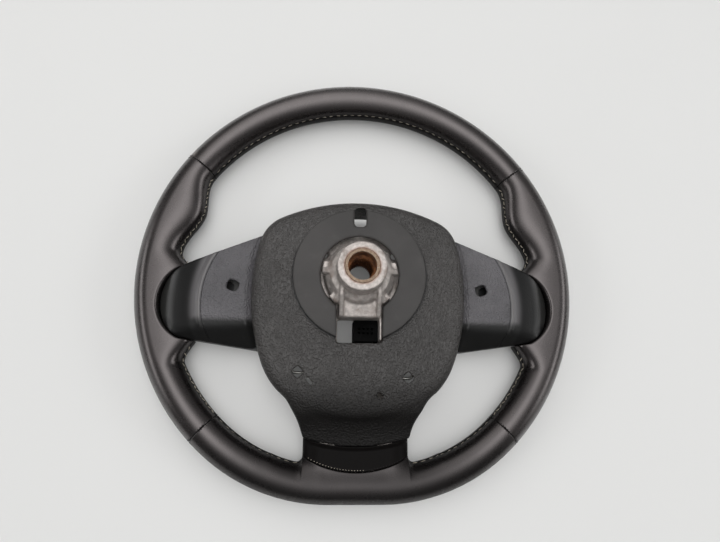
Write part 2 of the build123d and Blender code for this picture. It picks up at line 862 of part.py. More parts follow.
# Right spoke: rear moulding and front bezel
with BuildPart() as right_spoke_cover:
    add(spoke_solid(0, parting))
    add(spoke_pad())
    add(spoke_solid(wall, -rim_depth), mode=Mode.SUBTRACT)
    add(prism(cover_plan(fit), -rim_depth, disc_height), mode=Mode.SUBTRACT)
    add(arm_solid(fit), mode=Mode.SUBTRACT)
    with BuildSketch(Plane.XY.offset(level(arm_height + arm_thickness))) as access:
        with Locations(Location((access_hole_x, access_hole_y), access_hole_turn)):
            RectangleRounded(access_hole_length, access_hole_width, access_hole_corner)
    extrude(amount=disc_height, mode=Mode.SUBTRACT)


def boss(places, low, high):
    """Screw bosses of a bezel, each with the hole that its screw bites in."""
    with BuildPart() as group:
        with BuildSketch(Plane.XY.offset(level(low))):
            with Locations(*places):
                Circle(bezel_boss_radius)
        extrude(amount=high - low)
        with BuildSketch(Plane.XY.offset(level(high))):
            with Locations(*places):
                Circle(screw_radius)
        extrude(amount=-screw_bite, mode=Mode.SUBTRACT)
    return group.part


with BuildPart() as right_spoke_bezel:
    add(prism(spoke_plan(0), bezel_front, parting))
    fillet(right_spoke_bezel.faces().sort_by(Axis.Z)[0].edges(), radius=bezel_edge_radius)
    add(prism(spoke_plan(-wall), bezel_front + wall, parting), mode=Mode.SUBTRACT)
    add(arm_solid(fit), mode=Mode.SUBTRACT)
    add(boss((bezel_screw_upper, bezel_screw_lower), bezel_front + wall / 2, arm_height))
    add(prism(cover_plan(fit), -rim_depth, disc_height), mode=Mode.SUBTRACT)
    with BuildSketch(Plane.XY.offset(level(bezel_front))):
        with Locations((pod_x, pod_y)):
            RectangleRounded(window_width, window_height, key_corner + key_gap)
    extrude(amount=wall, mode=Mode.SUBTRACT)

with BuildPart() as lower_spoke_bezel:
    add(prism(neck_plan(0), bezel_front, neck_front))
    fillet(lower_spoke_bezel.faces().sort_by(Axis.Z)[0].edges(), radius=bezel_edge_radius)
    add(prism(neck_plan(-wall), bezel_front + wall, neck_front), mode=Mode.SUBTRACT)
    add(boss((neck_screw, (-neck_screw[0], neck_screw[1])), bezel_front + wall / 2, prong_height))
    add(prism(cover_plan(fit), -rim_depth, disc_height), mode=Mode.SUBTRACT)


# Switches in the right bezel, drawn on planes parallel to its front face
def pod_plane(depth):
    return Plane(origin=(pod_x, pod_y, level(bezel_front + depth)), x_dir=(1, 0, 0), z_dir=(0, 0, 1))


rib_offset = rocker_width / 2 - key_body_inset + rib_gap + rib_thickness / 2
rib_places = ((rocker_x - rib_offset, 0), (rocker_x + rib_offset, 0))
stem_offset = key_height / 2 - key_body_inset - stem_radius
stem_places = ((button_x, 0), (rocker_x, stem_offset), (rocker_x, -stem_offset))
rib_top = key_plate - key_proud + rib_gap + running

with BuildPart() as right_switch_body:
    with BuildSketch(pod_plane(wall)):
        RectangleRounded(2 * pod_half_width, 2 * pod_half_height, key_corner + pod_wall)
    extrude(amount=pod_depth - wall)
    with BuildSketch(pod_plane(wall)):
        RectangleRounded(2 * (pod_half_width - pod_wall), 2 * (pod_half_height - pod_wall), key_corner)
    extrude(amount=pod_floor_depth - wall, mode=Mode.SUBTRACT)
    with BuildSketch(pod_plane(rib_top)):
        with Locations(*rib_places):
            Rectangle(rib_thickness, 2 * rib_half_length)
    extrude(amount=pod_floor_depth - rib_top)
    with BuildSketch(Plane.YZ.offset(pod_x)):
        with Locations((pod_y, level(bezel_front + pin_depth))):
            Circle(pin_radius)
    extrude(amount=pod_half_width - pod_wall, both=True, mode=Mode.SUBTRACT)

with BuildPart() as right_switch_board:
    with BuildSketch(pod_plane(board_depth)):
        RectangleRounded(2 * (pod_half_width - pod_wall), 2 * (pod_half_height - pod_wall), key_corner)
        with Locations(*rib_places):
            Rectangle(rib_thickness + 2 * running, 2 * (rib_half_length + running), mode=Mode.SUBTRACT)
    extrude(amount=board_thickness)
    with BuildSketch(pod_plane(contact_depth)):
        with Locations(*stem_places):
            Rectangle(contact_size, contact_size)
    extrude(amount=contact_height)

with BuildPart() as right_rocker_pin:
    with BuildSketch(Plane.YZ.offset(pod_x + rocker_x)):
        with Locations((pod_y, level(bezel_front + pin_depth))):
            Circle(pin_radius)
    extrude(amount=rib_offset + rib_thickness / 2, both=True)


def key(center, width, stems):
    """A switch key: a face plate that fills its window, a narrower body behind it, and its stems."""
    with BuildPart() as cap:
        with BuildSketch(pod_plane(-key_proud)):
            with Locations((center, 0)):
                RectangleRounded(width, key_height, key_corner)
        extrude(amount=key_plate)
        fillet(cap.faces().sort_by(Axis.Z)[0].edges(), radius=key_proud / 2)
        with BuildSketch(pod_plane(key_plate - key_proud)):
            with Locations((center, 0)):
                Rectangle(width - 2 * key_body_inset, key_height - 2 * key_body_inset)
        extrude(amount=key_body_depth - key_plate + key_proud)
        with BuildSketch(pod_plane(key_body_depth)):
            with Locations(*stems):
                Circle(stem_radius)
        extrude(amount=stem_length)
    return cap.part


with BuildPart() as right_rocker:
    add(key(rocker_x, rocker_width, stem_places[1:]))
    with BuildSketch(Plane.YZ.offset(pod_x + rocker_x)):
        with Locations((pod_y, level(bezel_front + pin_depth))):
            Circle(pin_radius + running)
    extrude(amount=rocker_width, both=True, mode=Mode.SUBTRACT)

with BuildPart() as right_button:
    add(key(button_x, button_width, stem_places[:1]))
    with BuildSketch(pod_plane(wall + lip_gap)):
        with Locations((button_x, 0)):
            Rectangle(button_width - 2 * key_body_inset, window_height + 2 * lip)
    extrude(amount=lip_thickness)

# Harness: the connector in the window and a lead to each switch body
connector_right = window_half_width - fit - cheek_thickness
connector_mid = (connector_left + connector_right) / 2
connector_mid_y = -(shelf_end + fit + connector_bottom) / 2

with BuildPart() as harness_connector:
    with BuildSketch(Plane.XY.offset(level(connector_foot))):
        with Locations((connector_mid, connector_mid_y)):
            Rectangle(connector_right - connector_left, connector_bottom - shelf_end - fit)
    extrude(amount=connector_height - connector_foot)
    with BuildSketch(Plane.XY.offset(level(connector_height))):
        with Locations((connector_mid, connector_mid_y)):
            with GridLocations(socket_pitch, socket_pitch, socket_columns, socket_rows):
                Rectangle(socket_size, socket_size)
    extrude(amount=-socket_depth, mode=Mode.SUBTRACT)


def lead(side, start_x):
    """A lead inside the covers, from the lower end of the connector to the inner end of a switch body."""
    route = (
        (start_x, -connector_bottom, level(lead_height)),
        (start_x, -connector_bottom - lead_drop, level(lead_height)),
        (side * lead_turn_x, -connector_bottom - lead_drop, level(lead_height)),
        (side * lead_knee[0], lead_knee[1], level(lead_height / 2)),
        (side * lead_entry_x, lead_end_y, level(0)),
        (side * (pod_x - pod_half_width), lead_end_y, level(0)),
    )
    with BuildLine() as path:
        FilletPolyline(*route, radius=lead_bend)
    with BuildPart() as tube:
        with BuildSketch(Plane(origin=path.line @ 0, z_dir=path.line % 0)):
            Circle(lead_radius)
        sweep(path=path.wire())
    return tube.part


def airbag_spring(place):
    """A wire hairpin under the plate, whose bend crosses a clip hole of the rear cover."""
    height = level(plate_height - spring_radius)
    left = place[0] - spring_half_width
    right = place[0] + spring_half_width
    with BuildLine() as path:
        FilletPolyline(
            (left, place[1] + spring_leg, height),
            (left, place[1], height),
            (right, place[1], height),
            (right, place[1] + spring_leg, height),
            radius=spring_bend,
        )
    with BuildPart() as wire:
        with BuildSketch(Plane(origin=path.line @ 0, z_dir=path.line % 0)):
            Circle(spring_radius)
        sweep(path=path.wire())
    return wire.part


# Fasteners: each screw is a round head with a recess, and a shank that ends in its boss
def screws(places, seat, length, head_up):
    """Screws whose heads bear on a seat at a height, pointing away from the head."""
    up = 1 if head_up else -1
    with BuildPart() as group:
        with BuildSketch(Plane.XY.offset(level(seat))):
            with Locations(*places):
                Circle(screw_head_radius)
        extrude(amount=up * screw_head_height)
        with BuildSketch(Plane.XY.offset(level(seat))):
            with Locations(*places):
                Circle(screw_radius)
        extrude(amount=-up * length)
        with BuildSketch(Plane.XY.offset(level(seat + up * screw_head_height))):
            with Locations(*places):
                RegularPolygon(recess_radius, 6)
        extrude(amount=-up * recess_depth, mode=Mode.SUBTRACT)
    return group.part


def both_sides(*places):
    return [(side * x, y) for x, y in places for side in (-1, 1)]


with BuildPart() as cover_screws:
    add(screws(both_sides(pillar_upper, pillar_lower), plate_height, plate_thickness + screw_bite, False))

with BuildPart() as bezel_screws:
    spoke_places = both_sides(bezel_screw_upper, bezel_screw_lower)
    add(screws(spoke_places, arm_height + arm_thickness, arm_thickness + screw_bite, True))
    neck_seat = prong_height + prong_thickness
    add(screws(both_sides(neck_screw), neck_seat, prong_thickness + screw_bite, True))

keep(rear_cover.part, "rear_cover")
keep(lower_spoke_bezel.part, "lower_spoke_bezel")
keep(harness_connector.part, "harness_connector")
keep(lead(1, lead_right_x), "right_harness")
keep(lead(-1, lead_left_x), "left_harness")
keep(airbag_spring(clip_hole_right), "right_airbag_spring")
keep(airbag_spring(clip_hole_left), "left_airbag_spring")
keep(cover_screws.part, "cover_screws")
keep(bezel_screws.part, "bezel_screws")
for piece, name in (
    (right_spoke_cover.part, "spoke_cover"),
    (right_spoke_bezel.part, "spoke_bezel"),
    (right_switch_body.part, "switch_body"),
    (right_switch_board.part, "switch_board"),
    (right_rocker_pin.part, "rocker_pin"),
    (right_rocker.part, "rocker"),
    (right_button.part, "button"),
):
    keep(piece, f"right_{name}")
    keep(mirrored(piece), f"left_{name}")
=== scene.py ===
import functools
import json
import math
import bmesh
import bpy
from mathutils import Matrix, Vector
from mathutils.bvhtree import BVHTree


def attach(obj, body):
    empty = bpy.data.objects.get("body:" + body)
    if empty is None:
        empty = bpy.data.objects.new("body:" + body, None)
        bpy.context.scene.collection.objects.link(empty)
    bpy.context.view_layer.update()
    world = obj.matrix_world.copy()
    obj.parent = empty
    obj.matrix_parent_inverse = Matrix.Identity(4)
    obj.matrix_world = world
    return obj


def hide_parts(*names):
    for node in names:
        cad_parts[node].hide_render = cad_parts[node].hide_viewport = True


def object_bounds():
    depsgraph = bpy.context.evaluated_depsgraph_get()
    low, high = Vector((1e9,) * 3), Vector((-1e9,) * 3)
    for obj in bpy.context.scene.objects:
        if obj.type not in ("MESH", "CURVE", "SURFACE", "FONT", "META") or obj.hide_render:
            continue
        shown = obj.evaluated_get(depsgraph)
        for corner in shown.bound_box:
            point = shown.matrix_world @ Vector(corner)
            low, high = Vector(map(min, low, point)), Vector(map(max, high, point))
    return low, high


# Looks of the steering wheel. Lengths are millimetres until a mesh is made, and heights are measured
# from the middle plane of the rim, as in the part's source.
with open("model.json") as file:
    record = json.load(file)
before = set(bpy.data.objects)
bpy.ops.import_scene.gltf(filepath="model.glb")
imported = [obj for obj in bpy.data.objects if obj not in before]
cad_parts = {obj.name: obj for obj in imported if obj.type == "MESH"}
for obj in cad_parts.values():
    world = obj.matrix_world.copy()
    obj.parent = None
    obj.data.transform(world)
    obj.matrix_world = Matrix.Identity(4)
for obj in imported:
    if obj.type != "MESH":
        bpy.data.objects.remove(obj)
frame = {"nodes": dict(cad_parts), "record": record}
cad_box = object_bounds()
nodes = frame["nodes"]
millimetre = 0.001
dish = 64.5

# Rim, as in the part's source
rim_radius = 185.0
rim_width = 29.0
rim_depth = 31.0
flat_depth = 8.0
corner_inset = 30.5
upper_seam_angle = 36.0
lower_seam_angle = -45.0
grip_places = ((36.0, 0.0), (22.0, 12.5), (9.0, 5.0), (2.0, 18.0), (-19.0, 18.0), (-26.5, 0.0), (-45.0, 0.0))
seam_gap = 0.4
rubbed_place = (-146.5, 109.5)

# Side spokes, lower spoke and rear cover, as in the part's source
spoke_root_x = 60.0
spoke_root_top = 41.5
spoke_root_bottom = -62.5
spoke_tip_x = 161.5
spoke_tip_bow = 18.5
spoke_tip_top = 8.7
spoke_tip_bottom = -50.0
crease_x = 126.5
crease_bow = 6.0
pad_bottom = -36.0
ridge_rise = 1.0
ridge_away = 1.9
ridge_width = 1.7
groove_depth = 2.6  # beside the rear cover
groove_width = 6.5
fold_start = 90.0  # the pad rolls over to the flank between these
fold_end = 148.0
neck_half_width = 42.0
neck_end = 133.0
neck_end_bow = 6.5
tab_height = 9.5
top_slot = (0.0, 47.4, 9.4, 15.8, 3.0, 0.0)  # x, y, length, width, corner radius and turn of each hole
clip_holes = ((-46.9, -76.8, 6.6, 6.6, 0.4, 45.0), (38.6, -80.2, 6.6, 6.6, 0.4, 45.0))
slits = ((-37.9, -83.4, 6.0, 2.4, 1.1, -50.0), (16.9, -94.1, 6.0, 2.4, 1.1, -50.0))
access_hole = (101.5, -8.5, 9.6, 8.4, 2.5, 20.0)
cover_cut = (14.0, 60.0)  # heights between which the holes of the rear cover and of a spoke are cut
spoke_cut = (6.0, 45.0)
hole_corner_steps = 6
tab_end = 151.7
tab_end_bow = 11.5
disc_radius = 53.5
fit = 0.4

# Ribs of the hub casting: width, inner radius and height, outer radius and height, and height of the foot
boss_rib = (2.2, 18.0, 50.0, 27.3, 35.2, 30.0)
boss_rib_angles = (30.0, 55.0, 80.0, 100.0, 125.0, 150.0, 190.0, 205.0, 335.0, 350.0)
shelf_rib = (2.0, 20.0, 44.0, 29.0, 37.0, 30.0)
shelf_rib_angles = (232.0, 241.0, 299.0, 308.0)
lug_rib = (4.5, 17.0, 50.0, 30.0, 38.0, 30.0)
lug_rib_angles = (3.0, 177.0, 229.0, 311.0)

# Leather work
seam_roll = 0.7  # radius of the turned edge at a cross seam
pocket_roll = 2.4  # radius of the turned edge round the tip of a spoke
inner_seam_turn = 11.0  # degrees about the section, from the middle plane to the sewn seam inside the rim
ditch_depth = 0.8  # ditch of that seam
ditch_width = 0.8
tab_roll = 15.0  # the lower spoke's leather rounds off over this width at each side
tab_fall = 14.0  # at least how far inside the rim's middle line its leather has come down to the lower spoke
tab_blend = 30.0  # and over this width beside the lower spoke
tab_top = 12.3  # height of that leather until it is tucked in at the rear cover
tab_tuck = 3.5
foam_sink = 1.4  # thickness of the leather

# Sizes that follow
mid_radius = rim_radius - rim_width / 2
corner_radius = rim_radius - corner_inset
corner_mid = corner_radius - rim_width / 2
corner_drop = corner_inset - flat_depth
corner_x = math.sqrt(corner_inset**2 - corner_drop**2)
bend_turn = -math.atan2(corner_drop, corner_x)
circle_run = mid_radius * (math.pi / 2 - bend_turn)
corner_run = corner_mid * (math.pi / 2 + bend_turn)
half_run = circle_run + corner_run + corner_x
upper_seam_run = mid_radius * math.radians(90 - upper_seam_angle)
lower_seam_run = mid_radius * math.radians(90 - lower_seam_angle)
crease_middle = (spoke_tip_top + spoke_tip_bottom) / 2
crease_half = (spoke_tip_top - spoke_tip_bottom) / 2
crease_radius = (crease_half**2 + crease_bow**2) / (2 * crease_bow)


def at(x, y, height):
    """A place in the frame of the model, in metres."""
    return Vector((x, y, height - dish)) * millimetre


# Finishes
class Nodes:
    """A node tree with a short way to add to it."""

    def __init__(self, tree):
        self.tree = tree

    def node(self, kind, settings=None, values=None):
        """Add a node: its settings first, then the values or links of its sockets."""
        made = self.tree.nodes.new(kind)
        for name, value in (settings or {}).items():
            setattr(made, name, value)
        for name, value in (values or {}).items():
            self.feed(made.inputs[name], value)
        return made

    def feed(self, socket, value):
        if isinstance(value, Number):
            value = value.socket
        if isinstance(value, bpy.types.NodeSocket):
            self.tree.links.new(value, socket)
        else:
            socket.default_value = value


class Number:
    """A number that varies over a surface. Operators on it add Math nodes."""

    def __init__(self, nodes_of, socket):
        self.nodes_of = nodes_of
        self.socket = socket

    def maths(self, operation, first, second=0.0):
        node = self.nodes_of.node("ShaderNodeMath", {"operation": operation}, {0: first, 1: second})
        return Number(self.nodes_of, node.outputs[0])

    def __add__(self, other):
        return self.maths("ADD", self, other)

    def __sub__(self, other):
        return self.maths("SUBTRACT", self, other)

    def __rsub__(self, other):
        return self.maths("SUBTRACT", other, self)

    def __mul__(self, other):
        return self.maths("MULTIPLY", self, other)

    def __truediv__(self, other):
        return self.maths("DIVIDE", self, other)

    def __pow__(self, other):
        return self.maths("POWER", self, other)

    def __abs__(self):
        return self.maths("ABSOLUTE", self)

    __radd__ = __add__
    __rmul__ = __mul__

    def larger(self, other):
        return self.maths("MAXIMUM", self, other)

    def root(self):
        return self.maths("SQRT", self)

    def ease(self, low, high):
        """0 below low and 1 above high, smooth between them; high may be the lesser."""
        settings = {"interpolation_type": "SMOOTHSTEP"}
        if high < low:
            values = {"Value": self, "From Min": high, "From Max": low, "To Min": 1.0, "To Max": 0.0}
        else:
            values = {"Value": self, "From Min": low, "From Max": high, "To Min": 0.0, "To Max": 1.0}
        return Number(self.nodes_of, self.nodes_of.node("ShaderNodeMapRange", settings, values).outputs[0])


class Finish(Nodes):
    """A material made of nodes, with the textures it reads at the object's own coordinates."""

    def __init__(self, name, **constants):
        self.material = bpy.data.materials.new(name)
        self.material.use_nodes = True
        super().__init__(self.material.node_tree)
        self.shader = self.tree.nodes["Principled BSDF"]
        self.place = self.node("ShaderNodeTexCoord").outputs["Object"]
        split = self.node("ShaderNodeSeparateXYZ", {}, {0: self.place})
        self.x, self.y, self.z = (Number(self, split.outputs[axis]) for axis in "XYZ")
        for name, value in constants.items():
            self.shader.inputs[name.replace("_", " ").title()].default_value = value

    def set(self, **values):
        """Feed inputs of the shader that vary."""
        for name, value in values.items():
            self.feed(self.shader.inputs[name.replace("_", " ").title()], value)

    def noise(self, scale, detail=3.0, roughness=0.55, stretch=None):
        place = self.place
        if stretch:
            place = self.node("ShaderNodeMapping", {}, {"Vector": place, "Scale": stretch}).outputs[0]
        values = {"Vector": place, "Scale": scale, "Detail": detail, "Roughness": roughness}
        return Number(self, self.node("ShaderNodeTexNoise", {}, values).outputs[0])

    def cells(self, scale, feature="F1"):
        values = {"Vector": self.place, "Scale": scale}
        made = self.node("ShaderNodeTexVoronoi", {"feature": feature}, values)
        return Number(self, made.outputs["Distance"])

    def mix(self, share, first, second):
        """One colour turning into another."""
        made = self.node("ShaderNodeMix", {"data_type": "RGBA"}, {0: share})
        self.feed(made.inputs[6], first if not isinstance(first, tuple) else (*first, 1.0))
        self.feed(made.inputs[7], second if not isinstance(second, tuple) else (*second, 1.0))
        return made.outputs[2]

    def bump(self, height, depth, strength=1.0):
        """Relief of a depth in millimetres; each call adds to the ones before it."""
        before = self.shader.inputs["Normal"].links
        values = {"Height": height, "Distance": depth * millimetre, "Strength": strength}
        if before:
            values["Normal"] = before[0].from_socket
        self.set(Normal=self.node("ShaderNodeBump", {}, values).outputs[0])

    def mix_shaded_copy(self, unshaded, color, roughness, specular):
        """Mix in a darker, duller copy of the surface as painted shade, where the share given first falls to
        0.
        """
        values = {"Base Color": (*color, 1.0), "Roughness": roughness, "Specular IOR Level": specular}
        dull = self.node("ShaderNodeBsdfPrincipled", {}, values)
        both = self.node("ShaderNodeMixShader", {}, {0: unshaded})
        self.feed(dull.inputs["Normal"], self.shader.inputs["Normal"].links[0].from_socket)
        self.feed(both.inputs[1], dull.outputs[0])
        self.feed(both.inputs[2], self.shader.outputs[0])
        self.feed(self.tree.nodes["Material Output"].inputs["Surface"], both.outputs[0])

    def radius(self):
        """Distance from the hub axis, in millimetres."""
        return (self.x * self.x + self.y * self.y).root() / millimetre


def leather_finish():
    """Black leather: a painted sheen lightens the crown of the rim in patches that are partly wear, fading
    out towards the bottom; a darker, duller copy at its sides and front is painted shade, more so towards the
    bottom; rubbed pale at one seam.
    """
    made = Finish("worn_leather", coat_weight=0.25, coat_roughness=0.2)
    made.set(Specular_Tint=(1.0, 0.9, 0.895, 1.0))
    made.shader.inputs["Specular IOR Level"].default_value = 0.85
    patches = made.noise(22, 4)
    fine = made.noise(130, 3)
    height = made.z / millimetre + dish
    middle = mid_radius - flat_depth * (made.y / millimetre).ease(-110.0, -165.0)
    outwards = made.radius() - middle
    # Painted sheen: the crown, most of all its outer half, is coloured lighter where light catches it, in
    # patches that are partly wear, fading out towards the bottom of the wheel.
    crown = height.ease(9.5, 15.2) * (0.12 + 0.88 * outwards.ease(-8.0, 2.0))
    wear_and_painted_sheen = crown * patches.ease(0.25, 0.75) * (made.y / millimetre).ease(-150.0, -100.0)
    color = made.mix(wear_and_painted_sheen, (0.0035, 0.003, 0.0029), (0.016, 0.0138, 0.0133))
    dust = made.noise(900, 2).ease(0.66, 0.8) * 0.25
    dusty = made.mix(dust, color, (0.05, 0.044, 0.042))
    aside = made.x / millimetre - rubbed_place[0]
    above = made.y / millimetre - rubbed_place[1]
    rubbed = (aside * aside + above * above).root().ease(8.0, 1.0) * fine.ease(0.4, 0.6)
    made.set(Base_Color=made.mix(rubbed * 0.8, dusty, (0.2, 0.165, 0.145)))
    made.set(Roughness=0.2 + 0.1 * fine + 0.05 * patches)
    pores = made.cells(900)
    wrinkles = made.noise(420, 3, 0.6)
    made.bump(pores, 0.05, 0.35)
    made.bump(wrinkles, 0.06, 0.4)
    # Painted shade: a darker, duller copy of the leather takes over on the rim's sides and front below the
    # crown, and more and more towards the bottom of the wheel.
    shaded = 0.65 * (made.y / millimetre).ease(-120.0, -160.0)
    made.mix_shaded_copy(height.ease(3.5, 9.5) * (1 - shaded), (0.004, 0.0034, 0.0033), 0.5, 0.12)
    return made.material


def dull_leather():
    """Plain dark leather of the lower spoke."""
    made = Finish("dull_leather")
    made.shader.inputs["Specular IOR Level"].default_value = 0.05
    fine = made.noise(130, 3)
    made.set(Base_Color=made.mix(fine, (0.004, 0.0035, 0.0034), (0.0065, 0.0056, 0.0054)))
    made.set(Roughness=0.42 + 0.12 * fine)
    made.bump(made.cells(900), 0.05, 0.35)
    return made.material


def grained_plastic():
    """Plastic of the rear cover: pebble grain, a smoother disc with a groove coloured dark as painted shadow,
    most towards the bottom, and a darker, duller copy at the lower spoke as painted shade.
    """
    made = Finish("cover_plastic")
    away = made.radius() - disc_radius
    disc = away.ease(0.4, -0.4) * (made.z / millimetre).ease(-31.0, -30.2)
    # Painted shadow: the groove round the disc is coloured dark, most towards the bottom, where the bowl
    # falls away below the disc's step.
    shaded_groove = away.ease(-0.9, -0.2) * away.ease(0.9, 0.2) * (made.y / millimetre).ease(45.0, -5.0)
    pebbles = made.cells(740, "SMOOTH_F1")
    coarse = made.noise(1700, 2)
    broad = made.noise(16, 3)
    rub = made.noise(60, 4).ease(0.55, 0.75)
    color = made.mix(broad.ease(0.35, 0.7), (0.031, 0.0285, 0.0272), (0.048, 0.0444, 0.0427))
    rubbed = made.mix(rub * 0.3, color, (0.07, 0.065, 0.062))
    made.set(Base_Color=made.mix(shaded_groove, rubbed, (0.003, 0.003, 0.003)))
    made.set(Roughness=0.3 + 0.16 * coarse + 0.2 * disc)
    # Painted shade: a darker, duller copy of the plastic takes over on the neck that runs down to the lower
    # spoke.
    shaded_neck = (made.y / millimetre).ease(-70.0, -114.0)
    made.bump(1 - shaded_groove, 0.8, 0.8)
    made.bump(pebbles * (1 - 0.85 * disc), 1.1, 1.0)
    made.bump(coarse, 0.06, 0.4)
    made.mix_shaded_copy(1 - 0.93 * shaded_neck, (0.0075, 0.0069, 0.0066), 0.6, 0.15)
    return made.material


def spoke_plastic():
    """Plastic of the side spokes: pebble grain inside the crease, smooth and glossier outside it, where
    painted light and shade colour it: a painted shadow line at the crease, a painted highlight by it and on
    its ridge, a painted dark band farther out, painted shade on the flank and a darker, duller copy as
    painted shade.
    """
    made = Finish("spoke_plastic")
    across = abs(made.x) / millimetre - (crease_x - crease_radius)
    along = made.y / millimetre - crease_middle
    away = (across * across + along * along).root() - crease_radius
    outside = away.ease(-0.3, 0.5)
    low = (made.y / millimetre).ease(pad_bottom + 3.5, pad_bottom - 2.5)
    smooth = outside.larger(low)
    # Painted shadow: a dark line along the crease, where the grained pad stands up from the smooth zone; the
    # bump below also cuts it in as a groove.
    line = away.ease(-1.1, -0.5) * away.ease(0.1, -0.5)
    pebbles = made.cells(760, "SMOOTH_F1")
    coarse = made.noise(1700, 2)
    broad = made.noise(30, 3)
    scuffs = made.noise(90, 4, 0.6, (1.0, 0.25, 1.0)).ease(0.55, 0.72)
    grained = made.mix(broad.ease(0.35, 0.7), (0.085, 0.0814, 0.0875), (0.112, 0.107, 0.1145))
    # Painted light and shade in the smooth zone: a painted highlight next to the crease, a painted dark band
    # beyond it, a mid tone farther out, and painted shade on the flank below the pad.
    painted_dark_band = away.ease(5.0, 14.0)
    smooth_zone_shading = made.mix(painted_dark_band, (0.095, 0.09, 0.0935), (0.006, 0.006, 0.006))
    smooth_zone_shading = made.mix(away.ease(22.0, 28.0), smooth_zone_shading, (0.022, 0.022, 0.021))
    smooth_zone_shading = made.mix(low, smooth_zone_shading, (0.0115, 0.0115, 0.0113))
    color = made.mix(smooth, grained, smooth_zone_shading)
    scuffed = made.mix(scuffs * 0.3, color, (0.042, 0.04, 0.039))
    # Painted highlight along the ridge just outside the crease.
    ridge_highlight = away.ease(0.3, 1.2) * away.ease(3.4, 1.8) * (made.y / millimetre).ease(-40.0, -30.0)
    scuffed = made.mix(ridge_highlight * 0.6, scuffed, (0.14, 0.133, 0.132))
    made.set(Base_Color=made.mix(line * 0.8, scuffed, (0.004, 0.004, 0.004)))
    made.set(Roughness=0.48 + 0.06 * coarse - 0.19 * smooth + 0.08 * scuffs)
    made.bump(1 - line, 0.5, 0.7)
    made.bump(pebbles * (1 - 0.9 * smooth), 0.9, 1.0)
    made.bump(coarse, 0.04, 0.3)
    # Painted shade: a darker, duller copy of the plastic over the dark band and, half as much, over the
    # flank.
    dark = (away.ease(5.0, 12.0) * away.ease(27.0, 20.0)).larger(low * 0.5)
    made.mix_shaded_copy(1 - 0.8 * dark, (0.006, 0.006, 0.006), 0.55, 0.15)
    return made.material


def cast_alloy():
    """Die-cast alloy, dull and dirty, with rust that has crept out round the bore."""
    made = Finish("cast_alloy")
    grain = made.noise(700, 4, 0.65)
    stains = made.noise(75, 5, 0.6)
    spots = made.noise(260, 3, 0.6)
    dirt = stains.ease(0.5, 0.72)
    metal = made.mix(spots.ease(0.35, 0.7), (0.36, 0.328, 0.308), (0.53, 0.484, 0.456))
    dirty = made.mix(dirt, metal, (0.25, 0.205, 0.18))
    away = made.radius() + 2.0 * (spots - 0.5)
    top = (made.z / millimetre).ease(-3.0, -0.6)
    rust = away.ease(15.2, 12.9) * top * 0.6
    rusty = made.mix(made.noise(500, 3), (0.2, 0.062, 0.02), (0.42, 0.17, 0.06))
    made.set(Base_Color=made.mix(rust, dirty, rusty))
    made.set(Metallic=(0.55 - 0.35 * dirt) * (1 - rust))
    made.set(Roughness=0.34 + 0.2 * grain + 0.22 * dirt + 0.3 * rust)
    made.bump(grain, 0.12, 0.5)
    made.bump(spots, 0.5, 0.6)
    return made.material


def rusty_steel():
    """Steel of the hub bush: orange rust at its mouth and darker rust inside."""
    made = Finish("rusty_steel")
    flakes = made.noise(520, 5, 0.7)
    blotches = made.noise(150, 4, 0.6)
    deep = (made.z / millimetre).ease(-0.3, -4.0)
    orange = made.mix(flakes.ease(0.3, 0.7), (0.2, 0.13, 0.085), (0.4, 0.3, 0.22))
    dark = made.mix(blotches.ease(0.35, 0.65), (0.1, 0.04, 0.018), (0.34, 0.14, 0.055))
    bare = blotches.ease(0.62, 0.7) * (1 - deep)
    rust = made.mix(deep, orange, dark)
    made.set(Base_Color=made.mix(bare, rust, (0.45, 0.42, 0.4)))
    made.set(Metallic=bare * 0.8, Roughness=0.82 - 0.35 * bare)
    made.bump(flakes, 0.25, 0.7)
    return made.material


def plain_plastic(name, color, roughness, grain=1400, specular=0.5):
    """Moulded plastic of a small part."""
    made = Finish(name)
    made.shader.inputs["Specular IOR Level"].default_value = specular
    specks = made.noise(grain, 3)
    broad = made.noise(45, 3)
    lighter = tuple(part * 1.5 + 0.004 for part in color)
    made.set(Base_Color=made.mix(broad.ease(0.35, 0.75), color, lighter))
    made.set(Roughness=roughness + 0.12 * specks)
    made.bump(specks, 0.04, 0.4)
    return made.material


def plated_steel():
    """Zinc-plated steel of screws, springs and pins."""
    made = Finish("plated_steel", metallic=1.0)
    streaks = made.noise(300, 4, 0.6)
    made.set(Base_Color=made.mix(streaks.ease(0.3, 0.7), (0.4, 0.39, 0.36), (0.6, 0.59, 0.56)))
    made.set(Roughness=0.3 + 0.22 * streaks)
    made.bump(streaks, 0.03, 0.4)
    return made.material


def thread_finish(name, dark, pale):
    """Sewing thread, soiled in places."""
    made = Finish(name)
    twist = made.noise(1600, 2)
    soil = made.noise(35, 3)
    clean = made.mix(twist, dark, pale)
    made.set(Base_Color=made.mix(soil.ease(0.5, 0.72) * 0.7, clean, tuple(part / 4 for part in dark)))
    made.set(Roughness=0.75 + 0.15 * twist)
    made.bump(twist, 0.06, 0.6)
    return made.material


